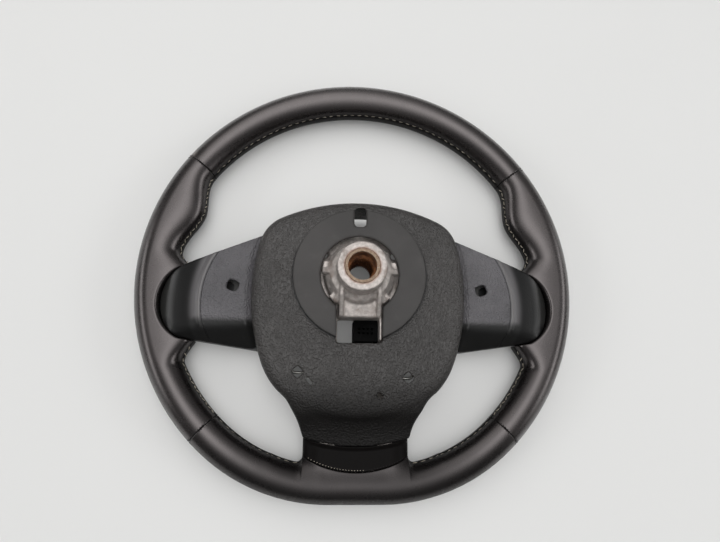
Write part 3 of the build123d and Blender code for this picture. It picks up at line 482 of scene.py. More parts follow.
leather = leather_finish()
tab_leather = dull_leather()
cover_plastic = grained_plastic()
bezel_plastic = plain_plastic("bezel_plastic", (0.02, 0.02, 0.021), 0.42)
wing_plastic = spoke_plastic()
alloy = cast_alloy()
bush_steel = rusty_steel()
dark_arm_alloy = plain_plastic("dark_arm_alloy", (0.035, 0.034, 0.033), 0.55)
switch_plastic = plain_plastic("switch_plastic", (0.03, 0.03, 0.03), 0.5)
key_plastic = plain_plastic("key_plastic", (0.026, 0.026, 0.028), 0.36)
connector_plastic = plain_plastic("connector_plastic", (0.001, 0.001, 0.001), 0.7, 1400, 0.06)
board_lacquer = plain_plastic("board_lacquer", (0.02, 0.09, 0.04), 0.35)
sleeve_rubber = plain_plastic("sleeve_rubber", (0.017, 0.017, 0.017), 0.6)
foam_rubber = plain_plastic("foam_rubber", (0.03, 0.03, 0.03), 0.8, 800)
steel = plated_steel()
pale_thread = thread_finish("pale_thread", (0.3, 0.265, 0.215), (0.5, 0.45, 0.375))
dark_thread = thread_finish("dark_thread", (0.006, 0.005, 0.005), (0.012, 0.01, 0.009))

finishes = {
    "cast_alloy": alloy,
    "bush_steel": bush_steel,
    "foam": foam_rubber,
    "leather": leather,
    "cover_plastic": cover_plastic,
    "bezel_plastic": bezel_plastic,
    "switch_plastic": switch_plastic,
    "board": board_lacquer,
    "key_plastic": key_plastic,
    "connector_plastic": connector_plastic,
    "sleeve": sleeve_rubber,
    "steel": steel,
}


def dress(piece, material):
    piece.data.materials.clear()
    piece.data.materials.append(material)


for entry in frame["record"]["subparts"]:
    dress(nodes[entry["node"]], finishes[entry["material_slot"]])
# The spoke arms get a darker, duller finish than the hub's alloy.
for side in ("left", "right"):
    dress(nodes[side + "_spoke_arm"], dark_arm_alloy)


# Making pieces
def add_piece(name, mesh, material, replaced=(), sharp=40):
    """Show a mesh as a piece that rides on the wheel."""
    mesh.name = name
    piece = bpy.data.objects.new(name, mesh)
    bpy.context.scene.collection.objects.link(piece)
    dress(piece, material)
    for face in mesh.polygons:
        face.use_smooth = True
    mesh.set_sharp_from_angle(angle=math.radians(sharp))
    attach(piece, "wheel")
    if replaced:
        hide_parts(*replaced)
    return piece


def baked(thing):
    """The evaluated mesh of an object, which is then removed."""
    bpy.context.view_layer.update()
    graph = bpy.context.evaluated_depsgraph_get()
    mesh = bpy.data.meshes.new_from_object(thing.evaluated_get(graph))
    bpy.data.objects.remove(thing)
    return mesh


def loose(mesh):
    """An object for modifiers to work on."""
    thing = bpy.data.objects.new("work", mesh)
    bpy.context.scene.collection.objects.link(thing)
    return thing


def carved(mesh, cutter):
    """A mesh with a hole cut in it."""
    thing = loose(mesh)
    tool = loose(cutter)
    change = thing.modifiers.new("carve", "BOOLEAN")
    change.object = tool
    change.operation = "DIFFERENCE"
    change.solver = "EXACT"
    result = baked(thing)
    bpy.data.objects.remove(tool)
    return result


def hole_cutter(hole, low, high):
    """A block with rounded corners that cuts a hole between two heights."""
    x, y, length, width, corner, angle = hole
    turn = Matrix.Rotation(math.radians(angle), 2)
    made = bmesh.new()
    rings = ([], [])
    for i in range(4 * hole_corner_steps):
        quarter = i // hole_corner_steps
        around = math.radians(90 * quarter + 90 * (i % hole_corner_steps) / (hole_corner_steps - 1))
        middle = Vector((length / 2 - corner, width / 2 - corner))
        if quarter in (1, 2):
            middle.x = -middle.x
        if quarter in (2, 3):
            middle.y = -middle.y
        place = Vector((x, y)) + turn @ (middle + corner * Vector((math.cos(around), math.sin(around))))
        for ring, height in zip(rings, (low, high)):
            ring.append(made.verts.new(at(place.x, place.y, height)))
    made.faces.new(rings[0])
    made.faces.new(rings[1])
    for i in range(len(rings[0])):
        made.faces.new((rings[0][i - 1], rings[0][i], rings[1][i], rings[1][i - 1]))
    return mesh_of(made)


def arc_points(start, middle, end, count):
    """Points of the arc through three points in plan."""
    (x1, y1), (x2, y2), (x3, y3) = start, middle, end
    twice = 2 * (x1 * (y2 - y3) + x2 * (y3 - y1) + x3 * (y1 - y2))
    s1, s2, s3 = x1 * x1 + y1 * y1, x2 * x2 + y2 * y2, x3 * x3 + y3 * y3
    cx = (s1 * (y2 - y3) + s2 * (y3 - y1) + s3 * (y1 - y2)) / twice
    cy = (s1 * (x3 - x2) + s2 * (x1 - x3) + s3 * (x2 - x1)) / twice
    radius = math.hypot(x1 - cx, y1 - cy)
    first = math.atan2(y1 - cy, x1 - cx)
    between = (math.atan2(y2 - cy, x2 - cx) - first) % (2 * math.pi)
    sweep = (math.atan2(y3 - cy, x3 - cx) - first) % (2 * math.pi)
    if between > sweep:
        sweep -= 2 * math.pi
    turns = (first + sweep * i / count for i in range(count + 1))
    return [(cx + radius * math.cos(turn), cy + radius * math.sin(turn)) for turn in turns]


# Rim: places along its middle line, counted clockwise from twelve o'clock
def rim_place(run):
    """Middle point of the rim's section and the direction outwards, in plan."""
    if run > half_run:
        run -= 2 * half_run
    side = 1 if run >= 0 else -1
    run = abs(run)
    if run <= circle_run:
        turn = math.pi / 2 - run / mid_radius
        out = Vector((math.cos(turn), math.sin(turn)))
        point = out * mid_radius
    elif run <= circle_run + corner_run:
        turn = bend_turn - (run - circle_run) / corner_mid
        out = Vector((math.cos(turn), math.sin(turn)))
        point = Vector((corner_x, -corner_drop)) + out * corner_mid
    else:
        out = Vector((0.0, -1.0))
        point = Vector((half_run - run, -corner_drop - corner_mid))
    return Vector((side * point.x, point.y)), Vector((side * out.x, out.y))


def smooth_step(share):
    share = min(max(share, 0.0), 1.0)
    return math.sin(math.pi / 2 * share) ** 2


def grip_bulge(run):
    """How far the grip stands inside the plain rim."""
    angle = 90 - math.degrees(abs(run) / mid_radius)
    for (first, bulge), (second, next_bulge) in zip(grip_places, grip_places[1:]):
        if second <= angle <= first:
            return bulge + (next_bulge - bulge) * smooth_step((first - angle) / (first - second))
    return 0.0


def turned_edge(distance, roll):
    """How far a turned edge of that radius lies below the surface, at a distance from the edge."""
    if distance >= roll:
        return 0.0
    return roll - math.sqrt(max(roll * roll - (roll - distance) ** 2, 0.0))


def ditch(above):
    """Depth of the sewn seam inside the rim, at a height above it."""
    return ditch_depth * math.exp(-((above / ditch_width) ** 2))


def spoke_outline(grow):
    """Outline of the right spoke in plan, from the top of its root round the tip to the bottom."""
    corner = spoke_tip_x - spoke_tip_bow
    top = (corner, spoke_tip_top + grow)
    bottom = (corner, spoke_tip_bottom - grow)
    tip = arc_points(top, (spoke_tip_x + grow, crease_middle), bottom, 40)
    return [(spoke_root_x, spoke_root_top + grow), *tip, (spoke_root_x, spoke_root_bottom - grow)]


pocket = spoke_outline(fit)


@functools.lru_cache(maxsize=None)
def pocket_depth(run):
    """How far inside the middle line the leather meets the spoke, or a long way where it doesn't."""
    turn = math.pi / 2 - abs(run) / mid_radius
    along = Vector((math.cos(turn), math.sin(turn)))
    across = Vector((-along.y, along.x))
    farthest = 0.0
    for first, second in zip(pocket, pocket[1:]):
        a, b = Vector(first), Vector(second)
        side_a, side_b = a.dot(across), b.dot(across)
        if side_a * side_b <= 0 and side_a != side_b:
            farthest = max(farthest, a.lerp(b, side_a / (side_a - side_b)).dot(along))
    return mid_radius - farthest


def grip_inside(run, share, sink, side):
    """Depth and height of the inner half of a section, from its top (share 0) to the middle plane (share 1).

    Where a spoke cuts the section off, the leather turns in at the edge and goes straight down."""
    bulge = grip_bulge(run)
    reach = rim_width / 2 + bulge - sink
    depth = rim_depth / 2 - sink
    power = 1 / (1 + 0.02 * bulge)
    edge = pocket_depth(run) - sink
    if edge >= reach:
        turn = math.pi / 2 * share
        height = depth * math.cos(turn) ** power
        seam_height = depth * math.sin(math.radians(inner_seam_turn)) ** power
        sewn_in = ditch(side * height - seam_height) * smooth_step((edge - reach) / 3)
        return reach * math.sin(turn) ** power - sewn_in, height
    natural = math.asin((edge / reach) ** (1 / power)) / (math.pi / 2)
    cut = smooth_step((reach - edge) / 5)
    top_share = natural + (0.62 - natural) * cut
    edge_height = depth * math.cos(math.pi / 2 * natural) ** power
    roll = min(pocket_roll, 0.85 * edge_height)
    if share >= top_share:
        fall = (share - top_share) / (1 - top_share)
        return edge, (edge_height - roll) * (1 - fall)
    turn = math.pi / 2 * natural * (1 - (1 - share / top_share) ** (1 + cut))
    depth_in = reach * math.sin(turn) ** power
    return depth_in, depth * math.cos(turn) ** power - turned_edge(edge - depth_in, roll)


def outer_half(center, out, phi, reach, depth):
    """A place on the outer half of a section, half an ellipse."""
    plan = center + out * reach * math.cos(phi)
    return at(plan.x, plan.y, depth * math.sin(phi))


def rim_point(run, phi, sink):
    """A place on the rim's leather. phi turns about the section, from 0 on the outer side."""
    center, out = rim_place(run)
    share = 2 * abs(phi) / math.pi - 1
    if share <= 0:
        return outer_half(center, out, phi, rim_width / 2 - sink, rim_depth / 2 - sink)
    depth_in, height = grip_inside(run, share, sink, math.copysign(1, phi))
    plan = center - out * depth_in
    return at(plan.x, plan.y, math.copysign(height, phi))


def rim_inside_y(x):
    """Inner edge, in plan, of the plain rim beside its flat."""
    inner = corner_mid - rim_width / 2
    if x <= corner_x:
        return -corner_drop - inner
    return -corner_drop - math.sqrt(inner**2 - (x - corner_x) ** 2)


def tab_seam_y(x):
    """Seam between the rim's leather and the lower spoke's."""
    bow_radius = (neck_half_width**2 + tab_end_bow**2) / (2 * tab_end_bow)
    return -tab_end + bow_radius - math.sqrt(bow_radius**2 - x * x)


def neck_end_y(x):
    """Lower end of the rear cover, which the lower spoke's leather meets."""
    bow_radius = (neck_half_width**2 + neck_end_bow**2) / (2 * neck_end_bow)
    return -neck_end - fit + bow_radius - math.sqrt(bow_radius**2 - x * x)


def tab_side(x):
    """How much of its height the lower spoke's leather still has beside its rounded sides."""
    over = max(abs(x) - neck_half_width + tab_roll, 0.0) / tab_roll
    return math.sqrt(max(1 - over * over, 0.0))


def tab_profile(x, depth_in):
    """Height of the leather from the rim into the lower spoke, at a distance inside the middle line."""
    near = smooth_step((neck_half_width + tab_blend - abs(x)) / tab_blend)
    seam = tab_seam_y(min(abs(x), neck_half_width)) + corner_drop + corner_mid
    return rim_depth / 2 - (rim_depth / 2 - tab_top) * smooth_step(depth_in / max(seam, tab_fall)) * near


def bottom_point(run, phi, sink):
    """A place on the leather of the bottom of the rim, which runs into the lower spoke as far as its seam."""
    center, out = rim_place(run)
    reach = rim_width / 2 - sink
    share = 2 * abs(phi) / math.pi - 1
    if share <= 0:
        return outer_half(center, out, phi, reach, rim_depth / 2 - sink)
    x = abs(center.x)
    web = smooth_step((78.0 - x) / 20.0)
    inward = (-out).lerp(Vector((0.0, 1.0)), web).normalized()
    if x < neck_half_width:
        edge_y = tab_seam_y(x) - gap
    else:
        across = max(neck_half_width + opening_corner - x, 0.0)
        edge_y = rim_inside_y(x) + opening_corner - math.sqrt(opening_corner**2 - across**2)
    span = reach + (edge_y - center.y - rim_width / 2) * web
    side = tab_side(x)
    top_share = 1 - 0.3 * side
    turn = math.pi / 2 * min(share / top_share, 1.0)
    depth_in = span * math.sin(turn)
    full = tab_profile(x, depth_in) - sink
    height = full * math.sqrt(math.cos(turn) ** 2 + (side * math.sin(turn)) ** 2)
    height -= min(turned_edge(span - depth_in, seam_roll), height) * side
    if share > top_share:
        height *= (1 - share) / (1 - top_share)
    seam_height = rim_depth / 2 * math.sin(math.radians(inner_seam_turn))
    depth_in -= ditch(math.copysign(height, phi) - seam_height) * (1 - side)
    plan = center + inward * depth_in
    return at(plan.x, plan.y, math.copysign(height, phi))


gap = seam_gap / 2
opening_corner = tab_seam_y(neck_half_width) - gap - rim_inside_y(neck_half_width)


def stations(start, end, step, dense=()):
    """Places along a panel: close together at its ends, where its edges turn in, and in dense stretches."""
    close = (0.0, 0.06, 0.18, 0.35, 0.6, 1.0, 1.6)
    places = {start + d for d in close} | {end - d for d in close}
    count = max(int((end - start) / step), 1)
    places |= {start + (end - start) * i / count for i in range(1, count)}
    for low, high, small in dense:
        count = int((high - low) / small)
        places |= {low + (high - low) * i / count for i in range(count + 1)}
    kept = [start]
    for place in sorted(places):
        if place - kept[-1] > 0.05:
            kept.append(place)
    kept[-1] = end
    return kept


def section_turns():
    """Turns about the rim's section, closer together beside the sewn seam inside the rim."""
    close = (-7.5, -5.5, -4.0, -2.8, -1.8, -0.9, 0.0, 0.9, 1.8, 2.8, 4.0, 5.5, 7.5)
    turns = {-180 + 3.75 * i for i in range(1, 97)}
    turns |= {180 - inner_seam_turn + turn for turn in close}
    return [math.radians(turn) for turn in sorted(turns)]


def mesh_of(made):
    """A finished mesh, with its faces pointing outwards."""
    bmesh.ops.recalc_face_normals(made, faces=made.faces)
    mesh = bpy.data.meshes.new("made")
    made.to_mesh(mesh)
    made.free()
    return mesh


def loft(rows):
    """A closed skin over rings of points, with a fan at each end."""
    made = bmesh.new()
    rings = [[made.verts.new(point) for point in row] for row in rows]
    count = len(rings[0])
    for low, high in zip(rings, rings[1:]):
        for i in range(count):
            j = (i + 1) % count
            made.faces.new((low[i], low[j], high[j], high[i]))
    for ring in (rings[0], rings[-1]):
        middle = made.verts.new(sum((vert.co for vert in ring), Vector()) / count)
        for i in range(count):
            made.faces.new((ring[i], ring[(i + 1) % count], middle))
    return mesh_of(made)


def panel(start, end, surface, step, dense=(), inset=0.0):
    """A closed tube of leather between two cross seams, with its edges turned in at both."""
    rows = []
    for run in stations(start, end, step, dense):
        sink = inset + turned_edge(min(run - start, end - run), seam_roll)
        rows.append([surface(run, phi, sink) for phi in section_turns()])
    return loft(rows)


def tab_ring(x):
    """Section of the lower spoke's leather, from its seam up to the rear cover and back along the front."""
    low = tab_seam_y(x) + gap
    high = neck_end_y(x)
    middle = -corner_drop - corner_mid
    steps = 26
    rear = []
    for i in range(steps + 1):
        share = smooth_step(i / steps)
        y = low + (high - low) * share
        height = tab_profile(x, y - middle) - turned_edge(y - low, seam_roll)
        height -= (tab_top - tab_height) * smooth_step((y - high + tab_tuck) / tab_tuck)
        rear.append((y, height * tab_side(x)))
    front = [(y, -height) for y, height in reversed(rear)]
    return [at(x, y, height) for y, height in (*rear, *front)]


def mirrored_mesh(mesh):
    """The same mesh on the other side of the wheel."""
    copy = mesh.copy()
    copy.transform(Matrix.Scale(-1, 4, (1, 0, 0)))
    copy.flip_normals()
    return copy


def merged(node):
    """A copy of a CAD node's mesh, with its loose triangles joined."""
    made = bmesh.new()
    made.from_mesh(nodes[node].data)
    bmesh.ops.remove_doubles(made, verts=made.verts, dist=1e-6)
    return made


def smooth_rounds(made, verts, rounds):
    every_axis = {"use_axis_x": True, "use_axis_y": True, "use_axis_z": True}
    for i in range(rounds):
        bmesh.ops.smooth_vert(made, verts=verts, factor=0.5, **every_axis)


def softened(made, voxel, rounds, weight=None, more_rounds=0):
    """A solid with its edges rounded like a casting's; weight says where it is rounded further."""
    mesh = bpy.data.meshes.new("soft")
    made.to_mesh(mesh)
    made.free()
    thing = loose(mesh)
    change = thing.modifiers.new("remesh", "REMESH")
    change.mode = "VOXEL"
    change.voxel_size = voxel * millimetre
    result = bmesh.new()
    result.from_mesh(baked(thing))
    smooth_rounds(result, result.verts, rounds)
    if weight:
        smooth_rounds(result, [vert for vert in result.verts if weight(vert.co)], more_rounds)
    return result


def add_block(made, points, faces):
    """Add a closed block of given corners, in metres."""
    verts = [made.verts.new(point) for point in points]
    block = [made.faces.new([verts[i] for i in face]) for face in faces]
    bmesh.ops.recalc_face_normals(made, faces=block)


def hub_rib(made, angle, width, inner, inner_height, outer, outer_height, foot):
    """A rib of the casting that falls from the boss to the flange."""
    turn = math.radians(angle)
    along = Vector((math.cos(turn), math.sin(turn)))
    side = Vector((-along.y, along.x)) * width / 2
    outline = ((inner, foot), (outer, foot), (outer, outer_height), (inner, inner_height))
    points = []
    for sign in (-1, 1):
        for radius, height in outline:
            plan = along * radius + side * sign
            points.append(at(plan.x, plan.y, height))
    faces = ((0, 1, 2, 3), (7, 6, 5, 4), (0, 4, 5, 1), (1, 5, 6, 2), (2, 6, 7, 3), (3, 7, 4, 0))
    add_block(made, points, faces)


def finished_mesh(made, name):
    mesh = bpy.data.meshes.new(name)
    made.to_mesh(mesh)
    made.free()
    return mesh


def hub_mesh():
    """The hub of the casting, with its edges softened and the ribs that stiffen its boss."""
    hub = merged("armature")
    ribs = ((boss_rib, boss_rib_angles), (shelf_rib, shelf_rib_angles), (lug_rib, lug_rib_angles))
    for rib, angles in ribs:
        for angle in angles:
            hub_rib(hub, angle, *rib)
    return finished_mesh(softened(hub, 0.8, 4), "hub")


def cover_mesh():
    """The rear cover, whose bowl flows into the lower spoke in one soft sweep."""
    mesh = finished_mesh(softened(merged("rear_cover"), 1.15, 3, in_sweep, 40), "cover")
    for hole in (top_slot, *clip_holes, *slits):
        mesh = carved(mesh, hole_cutter(hole, *cover_cut))
    return mesh


def crease_distance(x, y):
    """How far outside the crease of a spoke a place lies in plan."""
    return math.hypot(abs(x) - crease_x + crease_radius, y - crease_middle) - crease_radius


def wing_mesh():
    """The right spoke's cover, which rolls down to its flank and has a ridge at its crease."""
    soft = softened(merged("right_spoke_cover"), 0.9, 3, in_fold, 60)
    soft.normal_update()
    beside = BVHTree.FromBMesh(merged("rear_cover"))
    for vert in soft.verts:
        if vert.normal.z < 0.25:
            continue
        x, y = vert.co.x / millimetre, vert.co.y / millimetre
        away = crease_distance(x, y)
        lift = ridge_rise * math.exp(-(((away - ridge_away) / ridge_width) ** 2))
        lift *= smooth_step((y - spoke_tip_bottom) / 12.0)
        lift -= groove_depth * smooth_step(1 - beside.find_nearest(vert.co)[3] / millimetre / groove_width)
        vert.co.z += lift * millimetre
    return carved(finished_mesh(soft, "wing"), hole_cutter(access_hole, *spoke_cut))


def in_fold(place):
    """Where the pad of a spoke rolls over to the flank."""
    y = place.y / millimetre
    height = place.z / millimetre + dish
    inside = fold_start < place.x / millimetre < fold_end
    return inside and pad_bottom - 10.0 < y < pad_bottom + 10.0 and height > 5.0


def in_sweep(place):
    """Where the bowl of the rear cover flows into the lower spoke."""
    y = place.y / millimetre
    height = place.z / millimetre + dish
    return -123.0 < y < -92.0 and height > 9.0


add_piece("hub_casting", hub_mesh(), alloy, ("armature",), 50)
add_piece("cover_moulding", cover_mesh(), cover_plastic, ("rear_cover",), 50)
wing = wing_mesh()
add_piece("right_wing", wing, wing_plastic, ("right_spoke_cover",), 50)
add_piece("left_wing", mirrored_mesh(wing), wing_plastic, ("left_spoke_cover",), 50)

top_mesh = panel(-upper_seam_run + gap, upper_seam_run - gap, rim_point, 2.0)
pocket_top = mid_radius * math.radians(90 - 8)
pocket_bottom = mid_radius * math.radians(90 + 26)
grip_mesh = panel(
    upper_seam_run + gap,
    lower_seam_run - gap,
    rim_point,
    1.6,
    ((pocket_top, pocket_bottom, 0.8),),
)
bottom_mesh = panel(
    lower_seam_run + gap,
    2 * half_run - lower_seam_run - gap,
    bottom_point,
    2.0,
    ((half_run - 60.0, half_run - 38.0, 0.5), (half_run + 38.0, half_run + 60.0, 0.5)),
)
tab_places = [-neck_half_width * math.cos(math.pi * i / 90) for i in range(91)]
tab_mesh = loft([tab_ring(x) for x in tab_places])


def joined(meshes):
    made = bmesh.new()
    for mesh in meshes:
        made.from_mesh(mesh)
    return finished_mesh(made, "joined")


foam_top = panel(-upper_seam_run, upper_seam_run, rim_point, 4.0, (), foam_sink)
foam_grip = panel(upper_seam_run, lower_seam_run, rim_point, 3.0, (), foam_sink)
foam_bottom = panel(lower_seam_run, 2 * half_run - lower_seam_run, bottom_point, 3.0, (), foam_sink)
foam_mesh = joined((foam_top, foam_grip, mirrored_mesh(foam_grip), foam_bottom))
add_piece("foam_padding", foam_mesh, foam_rubber, ("rim_foam",))
add_piece("top_leather", top_mesh, leather, ("leather_top",))
add_piece("right_grip_leather", grip_mesh, leather, ("leather_right_grip",))
add_piece("left_grip_leather", mirrored_mesh(grip_mesh), leather, ("leather_left_grip",))
add_piece("bottom_leather", bottom_mesh, leather, ("leather_bottom",))
add_piece("tab_leather", tab_mesh, tab_leather, ("leather_spoke_tab",))


# Sewing: each edge of a row is one stitch, and "face_out" on its ends says which way the leather faces
def stitch_tree():
    tree = bpy.data.node_groups.new("stitches", "GeometryNodeTree")
    face = tree.interface
    face.new_socket("Geometry", in_out="INPUT", socket_type="NodeSocketGeometry")
    sockets = {}
    for name, value in (("Thread Width", 0.0008), ("Thread Rise", 0.0005), ("Pull", 0.92), ("Wander", 0.07)):
        sockets[name] = face.new_socket(name, in_out="INPUT", socket_type="NodeSocketFloat")
        sockets[name].default_value = value
    sockets["Seed"] = face.new_socket("Seed", in_out="INPUT", socket_type="NodeSocketInt")
    sockets["Material"] = face.new_socket("Material", in_out="INPUT", socket_type="NodeSocketMaterial")
    face.new_socket("Geometry", in_out="OUTPUT", socket_type="NodeSocketGeometry")

    node = Nodes(tree).node
    given = node("NodeGroupInput").outputs
    ends = node("GeometryNodeInputMeshEdgeVertices").outputs
    between = {0: ends["Position 2"], 1: ends["Position 1"]}
    along = node("ShaderNodeVectorMath", {"operation": "SUBTRACT"}, between)
    rows = node(
        "GeometryNodeStoreNamedAttribute",
        {"data_type": "FLOAT_VECTOR", "domain": "EDGE"},
        {"Geometry": given["Geometry"], "Name": "along", "Value": along.outputs[0]},
    ).outputs["Geometry"]
    points = node("GeometryNodeMeshToPoints", {"mode": "EDGES"}, {"Mesh": rows}).outputs[0]
    vector = {"data_type": "FLOAT_VECTOR"}
    run = node("GeometryNodeInputNamedAttribute", vector, {"Name": "along"}).outputs[0]
    out = node("GeometryNodeInputNamedAttribute", vector, {"Name": "face_out"}).outputs[0]
    stand = node("FunctionNodeAlignRotationToVector", {"axis": "Z"}, {"Vector": out})
    turned = node(
        "FunctionNodeAlignRotationToVector",
        {"axis": "X", "pivot_axis": "Z"},
        {"Rotation": stand.outputs[0], "Vector": run},
    )
    low = node("ShaderNodeMath", {"operation": "MULTIPLY"}, {0: given["Wander"], 1: -1.0})
    stray = node(
        "FunctionNodeRandomValue",
        {"data_type": "FLOAT"},
        {"Min": low.outputs[0], "Max": given["Wander"], "Seed": given["Seed"]},
    )
    strayed = {"Axis": (0.0, 0.0, 1.0), "Angle": stray.outputs["Value"]}
    spin = node("FunctionNodeAxisAngleToRotation", {}, strayed)
    local = {"rotation_space": "LOCAL"}
    lie = node("FunctionNodeRotateRotation", local, {0: turned.outputs[0], 1: spin.outputs[0]})
    length = node("ShaderNodeVectorMath", {"operation": "LENGTH"}, {0: run}).outputs["Value"]
    pulled = node("ShaderNodeMath", {"operation": "MULTIPLY"}, {0: length, 1: given["Pull"]}).outputs[0]
    size = node(
        "ShaderNodeCombineXYZ",
        {},
        {"X": pulled, "Y": given["Thread Width"], "Z": given["Thread Rise"]},
    )
    bead = node("GeometryNodeMeshUVSphere", {}, {"Segments": 8, "Rings": 6, "Radius": 0.5}).outputs["Mesh"]
    laid = node(
        "GeometryNodeInstanceOnPoints",
        {},
        {"Points": points, "Instance": bead, "Rotation": lie.outputs[0], "Scale": size.outputs[0]},
    )
    real = node("GeometryNodeRealizeInstances", {}, {"Geometry": laid.outputs[0]}).outputs[0]
    colored = node("GeometryNodeSetMaterial", {}, {"Geometry": real, "Material": given["Material"]})
    node("NodeGroupOutput", {}, {"Geometry": colored.outputs[0]})
    return tree, {name: socket.identifier for name, socket in sockets.items()}


sewing, sewing_inputs = stitch_tree()


def sewn(name, stitches, thread, width, rise, seed):
    """Show stitches, each given as its two ends and the way the leather faces there."""
    mesh = bpy.data.meshes.new(name)
    ends = [end for first, second, out in stitches for end in (first, second)]
    mesh.from_pydata(ends, [(2 * i, 2 * i + 1) for i in range(len(stitches))], [])
    facing = mesh.attributes.new("face_out", "FLOAT_VECTOR", "POINT")
    for i, (first, second, out) in enumerate(stitches):
        facing.data[2 * i].vector = out
        facing.data[2 * i + 1].vector = out
    thing = loose(mesh)
    change = thing.modifiers.new("sewing", "NODES")
    change.node_group = sewing
    change[sewing_inputs["Thread Width"]] = width * millimetre
    change[sewing_inputs["Thread Rise"]] = rise * millimetre
    change[sewing_inputs["Seed"]] = seed
    change[sewing_inputs["Material"]] = thread
    return add_piece(name, baked(thing), thread)


def sewn_side(start, end, surface, pitch, share, lean):
    """Stitches along the seam inside the rim, leaning across it by turns, so that they zigzag."""
    stitches = []
    count = round((end - start) / pitch)
    for i in range(count):
        middle = start + (end - start) * (i + 0.5) / count
        out = rim_place(middle)[1]
        half = pitch * share / 2
        leaning = lean if i % 2 else -lean
        places = []
        for away in (-1, 1):
            turn = math.radians(180 - inner_seam_turn + leaning * away)
            places.append(surface(middle + half * away, turn, 0.0))
        facing = Vector((-out.x, -out.y, 0.3)).normalized()
        stitches.append((*places, facing))
    return stitches


def cross_row(run, surface, first_turn, last_turn, pitch, share):
    """Stitches side by side across a seam, from one turn about the section to another."""
    stitches = []
    turns = [first_turn + (last_turn - first_turn) * i / 200 for i in range(201)]
    path = [surface(run, turn, 0.0) for turn in turns]
    travelled = 0.0
    for before, after, turn in zip(path, path[1:], turns):
        travelled += (after - before).length
        if travelled < pitch * millimetre:
            continue
        travelled = 0.0
        along = (surface(run + 0.5, turn, 0.0) - surface(run - 0.5, turn, 0.0)).normalized()
        facing = (after - before).cross(along).normalized()
        if facing.dot(after - at(*rim_place(run)[0], 0.0)) < 0:
            facing.negate()
        half = along * pitch * share / 2 * millimetre
        stitches.append((after - half, after + half, facing))
    return stitches


rim_pitch = 7.0
grip_pitch = 4.4
seam_pitch = 2.2
seam_aside = 1.0
notch_top = mid_radius * math.radians(90 - 4.4)
notch_bottom = mid_radius * math.radians(90 + 22.0)
corner_end_run = half_run - neck_half_width - 2.0
flip = Matrix.Scale(-1, 3, (1, 0, 0))


def both_sides(stitches):
    return stitches + [tuple(flip @ part for part in stitch) for stitch in stitches]


right_rows = sewn_side(upper_seam_run + 3.0, notch_top, rim_point, grip_pitch, 0.95, 4.0)
right_rows += sewn_side(notch_bottom, lower_seam_run - 3.0, rim_point, grip_pitch, 0.95, 4.0)
right_rows += sewn_side(lower_seam_run + 3.0, corner_end_run, bottom_point, rim_pitch, 0.66, 1.5)
top_rows = sewn_side(3.0 - upper_seam_run, upper_seam_run - 3.0, rim_point, rim_pitch, 0.66, 1.5)
sewn("rim_stitches", both_sides(right_rows) + top_rows, pale_thread, 0.8, 0.6, 3)

seam_rows = []
for run in (upper_seam_run, lower_seam_run):
    for aside in (-seam_aside, seam_aside):
        seam_rows += cross_row(run + aside, rim_point, -math.pi * 0.97, math.pi * 0.97, seam_pitch, 0.5)
sewn("seam_stitches", both_sides(seam_rows), dark_thread, 0.6, 0.4, 5)

tab_rows = []
tab_stitches = 34
for i in range(tab_stitches):
    x = (neck_half_width - 4.0) * (2 * (i + 0.5) / tab_stitches - 1)
    ends = []
    for away in (-0.55, 0.55):
        y = tab_seam_y(x + away) + 1.4
        height = tab_profile(x, y + corner_drop + corner_mid) * tab_side(x)
        ends.append(at(x + away, y, height - 0.05))
    tab_rows.append((*ends, Vector((0.0, 0.1, 1.0)).normalized()))
faded = tab_stitches * 3 // 5
sewn("tab_stitches", tab_rows[:faded], pale_thread, 0.5, 0.35, 7)
sewn("dark_tab_stitches", tab_rows[faded:], dark_thread, 0.5, 0.35, 9)


# Floor, light and camera
def stage_finish():
    """Pale floor, which shows the camera a little of its colour even in the deepest shade."""
    made = Finish("pale_floor")
    shade = made.noise(3, 2)
    made.set(Base_Color=made.mix(shade, (0.74, 0.74, 0.73), (0.78, 0.78, 0.77)))
    made.set(Roughness=0.6 + 0.1 * shade)
    seen = Number(made, made.node("ShaderNodeLightPath").outputs["Is Camera Ray"])
    glow = made.node("ShaderNodeEmission", {}, {"Color": (0.76, 0.76, 0.75, 1.0), "Strength": 1.0})
    shaders = {0: seen * glow_share, 1: made.shader.outputs[0], 2: glow.outputs[0]}
    both = made.node("ShaderNodeMixShader", {}, shaders)
    made.feed(made.tree.nodes["Material Output"].inputs["Surface"], both.outputs[0])
    return made.material


glow_share = 0.1
reach = 3.0
floor_mesh = bpy.data.meshes.new("floor")
floor_height = cad_box[0].z
corners = [(-reach, -reach), (reach, -reach), (reach, reach), (-reach, reach)]
floor_mesh.from_pydata([(x, y, floor_height) for x, y in corners], [], [(0, 1, 2, 3)])
floor = bpy.data.objects.new("floor", floor_mesh)
bpy.context.scene.collection.objects.link(floor)
dress(floor, stage_finish())


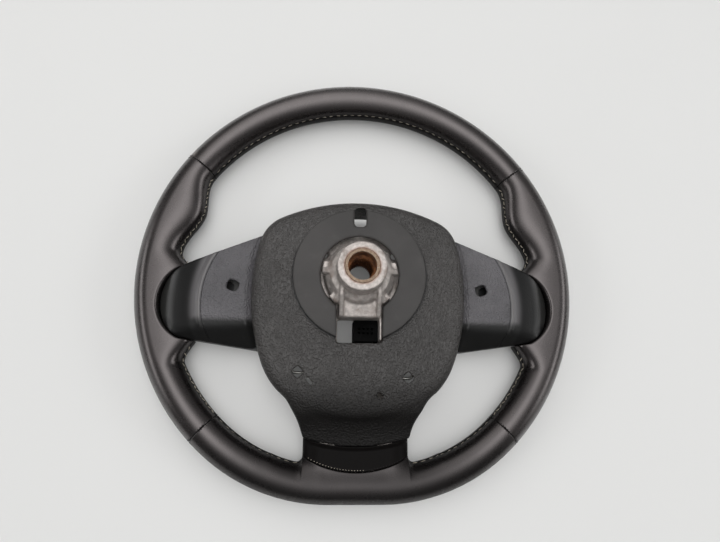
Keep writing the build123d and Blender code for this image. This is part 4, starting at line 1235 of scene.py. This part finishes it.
def area_light(name, place, aim, size, power, color):
    lamp = bpy.data.lights.new(name, "AREA")
    lamp.shape = "DISK"
    lamp.size = size
    lamp.energy = power
    lamp.color = color
    thing = bpy.data.objects.new(name, lamp)
    thing.location = place
    thing.rotation_euler = (Vector(aim) - Vector(place)).to_track_quat("-Z", "Y").to_euler()
    bpy.context.scene.collection.objects.link(thing)


area_light("key", (-0.35, 1.0, 1.0), (0, 0, -0.05), 0.9, 1.5, (1.0, 0.985, 0.96))
area_light("fill", (0.95, 0.1, 0.9), (0, 0, -0.05), 0.9, 0.5, (0.96, 0.98, 1.0))


def studio_world():
    """A ceiling light along Y that falls off to the horizon and a strip at each side; plain to the camera."""
    world = bpy.data.worlds.new("studio")
    world.use_nodes = True
    sky = Nodes(world.node_tree)
    split = sky.node("ShaderNodeSeparateXYZ", {}, {0: sky.node("ShaderNodeTexCoord").outputs["Generated"]})
    x, y, z = (Number(sky, split.outputs[axis]) for axis in "XYZ")
    up = z.larger(0.0)
    narrow = (1 - x * x) ** 6
    ceiling = (0.04 + (0.25 * up + 0.71 * up**6) * narrow) * (1 + 0.4 * y) * ceiling_level
    strips = abs(x).ease(0.76, 0.86) * abs(x).ease(0.97, 0.88) * abs(y).ease(0.5, 0.2) * strip_level
    seen = Number(sky, sky.node("ShaderNodeLightPath").outputs["Is Camera Ray"])
    shown = (ceiling + strips) * (1 - seen) + plain_level * seen
    sky.feed(world.node_tree.nodes["Background"].inputs["Color"], shown)
    bpy.context.scene.world = world


ceiling_level = 3.3
strip_level = 3.2
plain_level = 0.87
studio_world()

camera_data = bpy.data.cameras.new("camera")
camera_data.sensor_width = 36.0
camera_data.lens = 26.5
camera_data.clip_start = 0.01
camera = bpy.data.objects.new("camera", camera_data)
tilt_x, tilt_y, tilt_z = -0.2289, 0.0689, -0.0101
shift = Vector((-2.371, -10.3711, -454.7746))
turn = Matrix.Rotation(tilt_x, 3, "X") @ Matrix.Rotation(tilt_y, 3, "Y") @ Matrix.Rotation(tilt_z, 3, "Z")
eye = -(turn.transposed() @ shift)
camera.matrix_world = Matrix.Translation(at(*eye)) @ turn.transposed().to_4x4()
bpy.context.scene.collection.objects.link(camera)
bpy.context.scene.camera = camera

bpy.context.scene.view_settings.view_transform = "Standard"
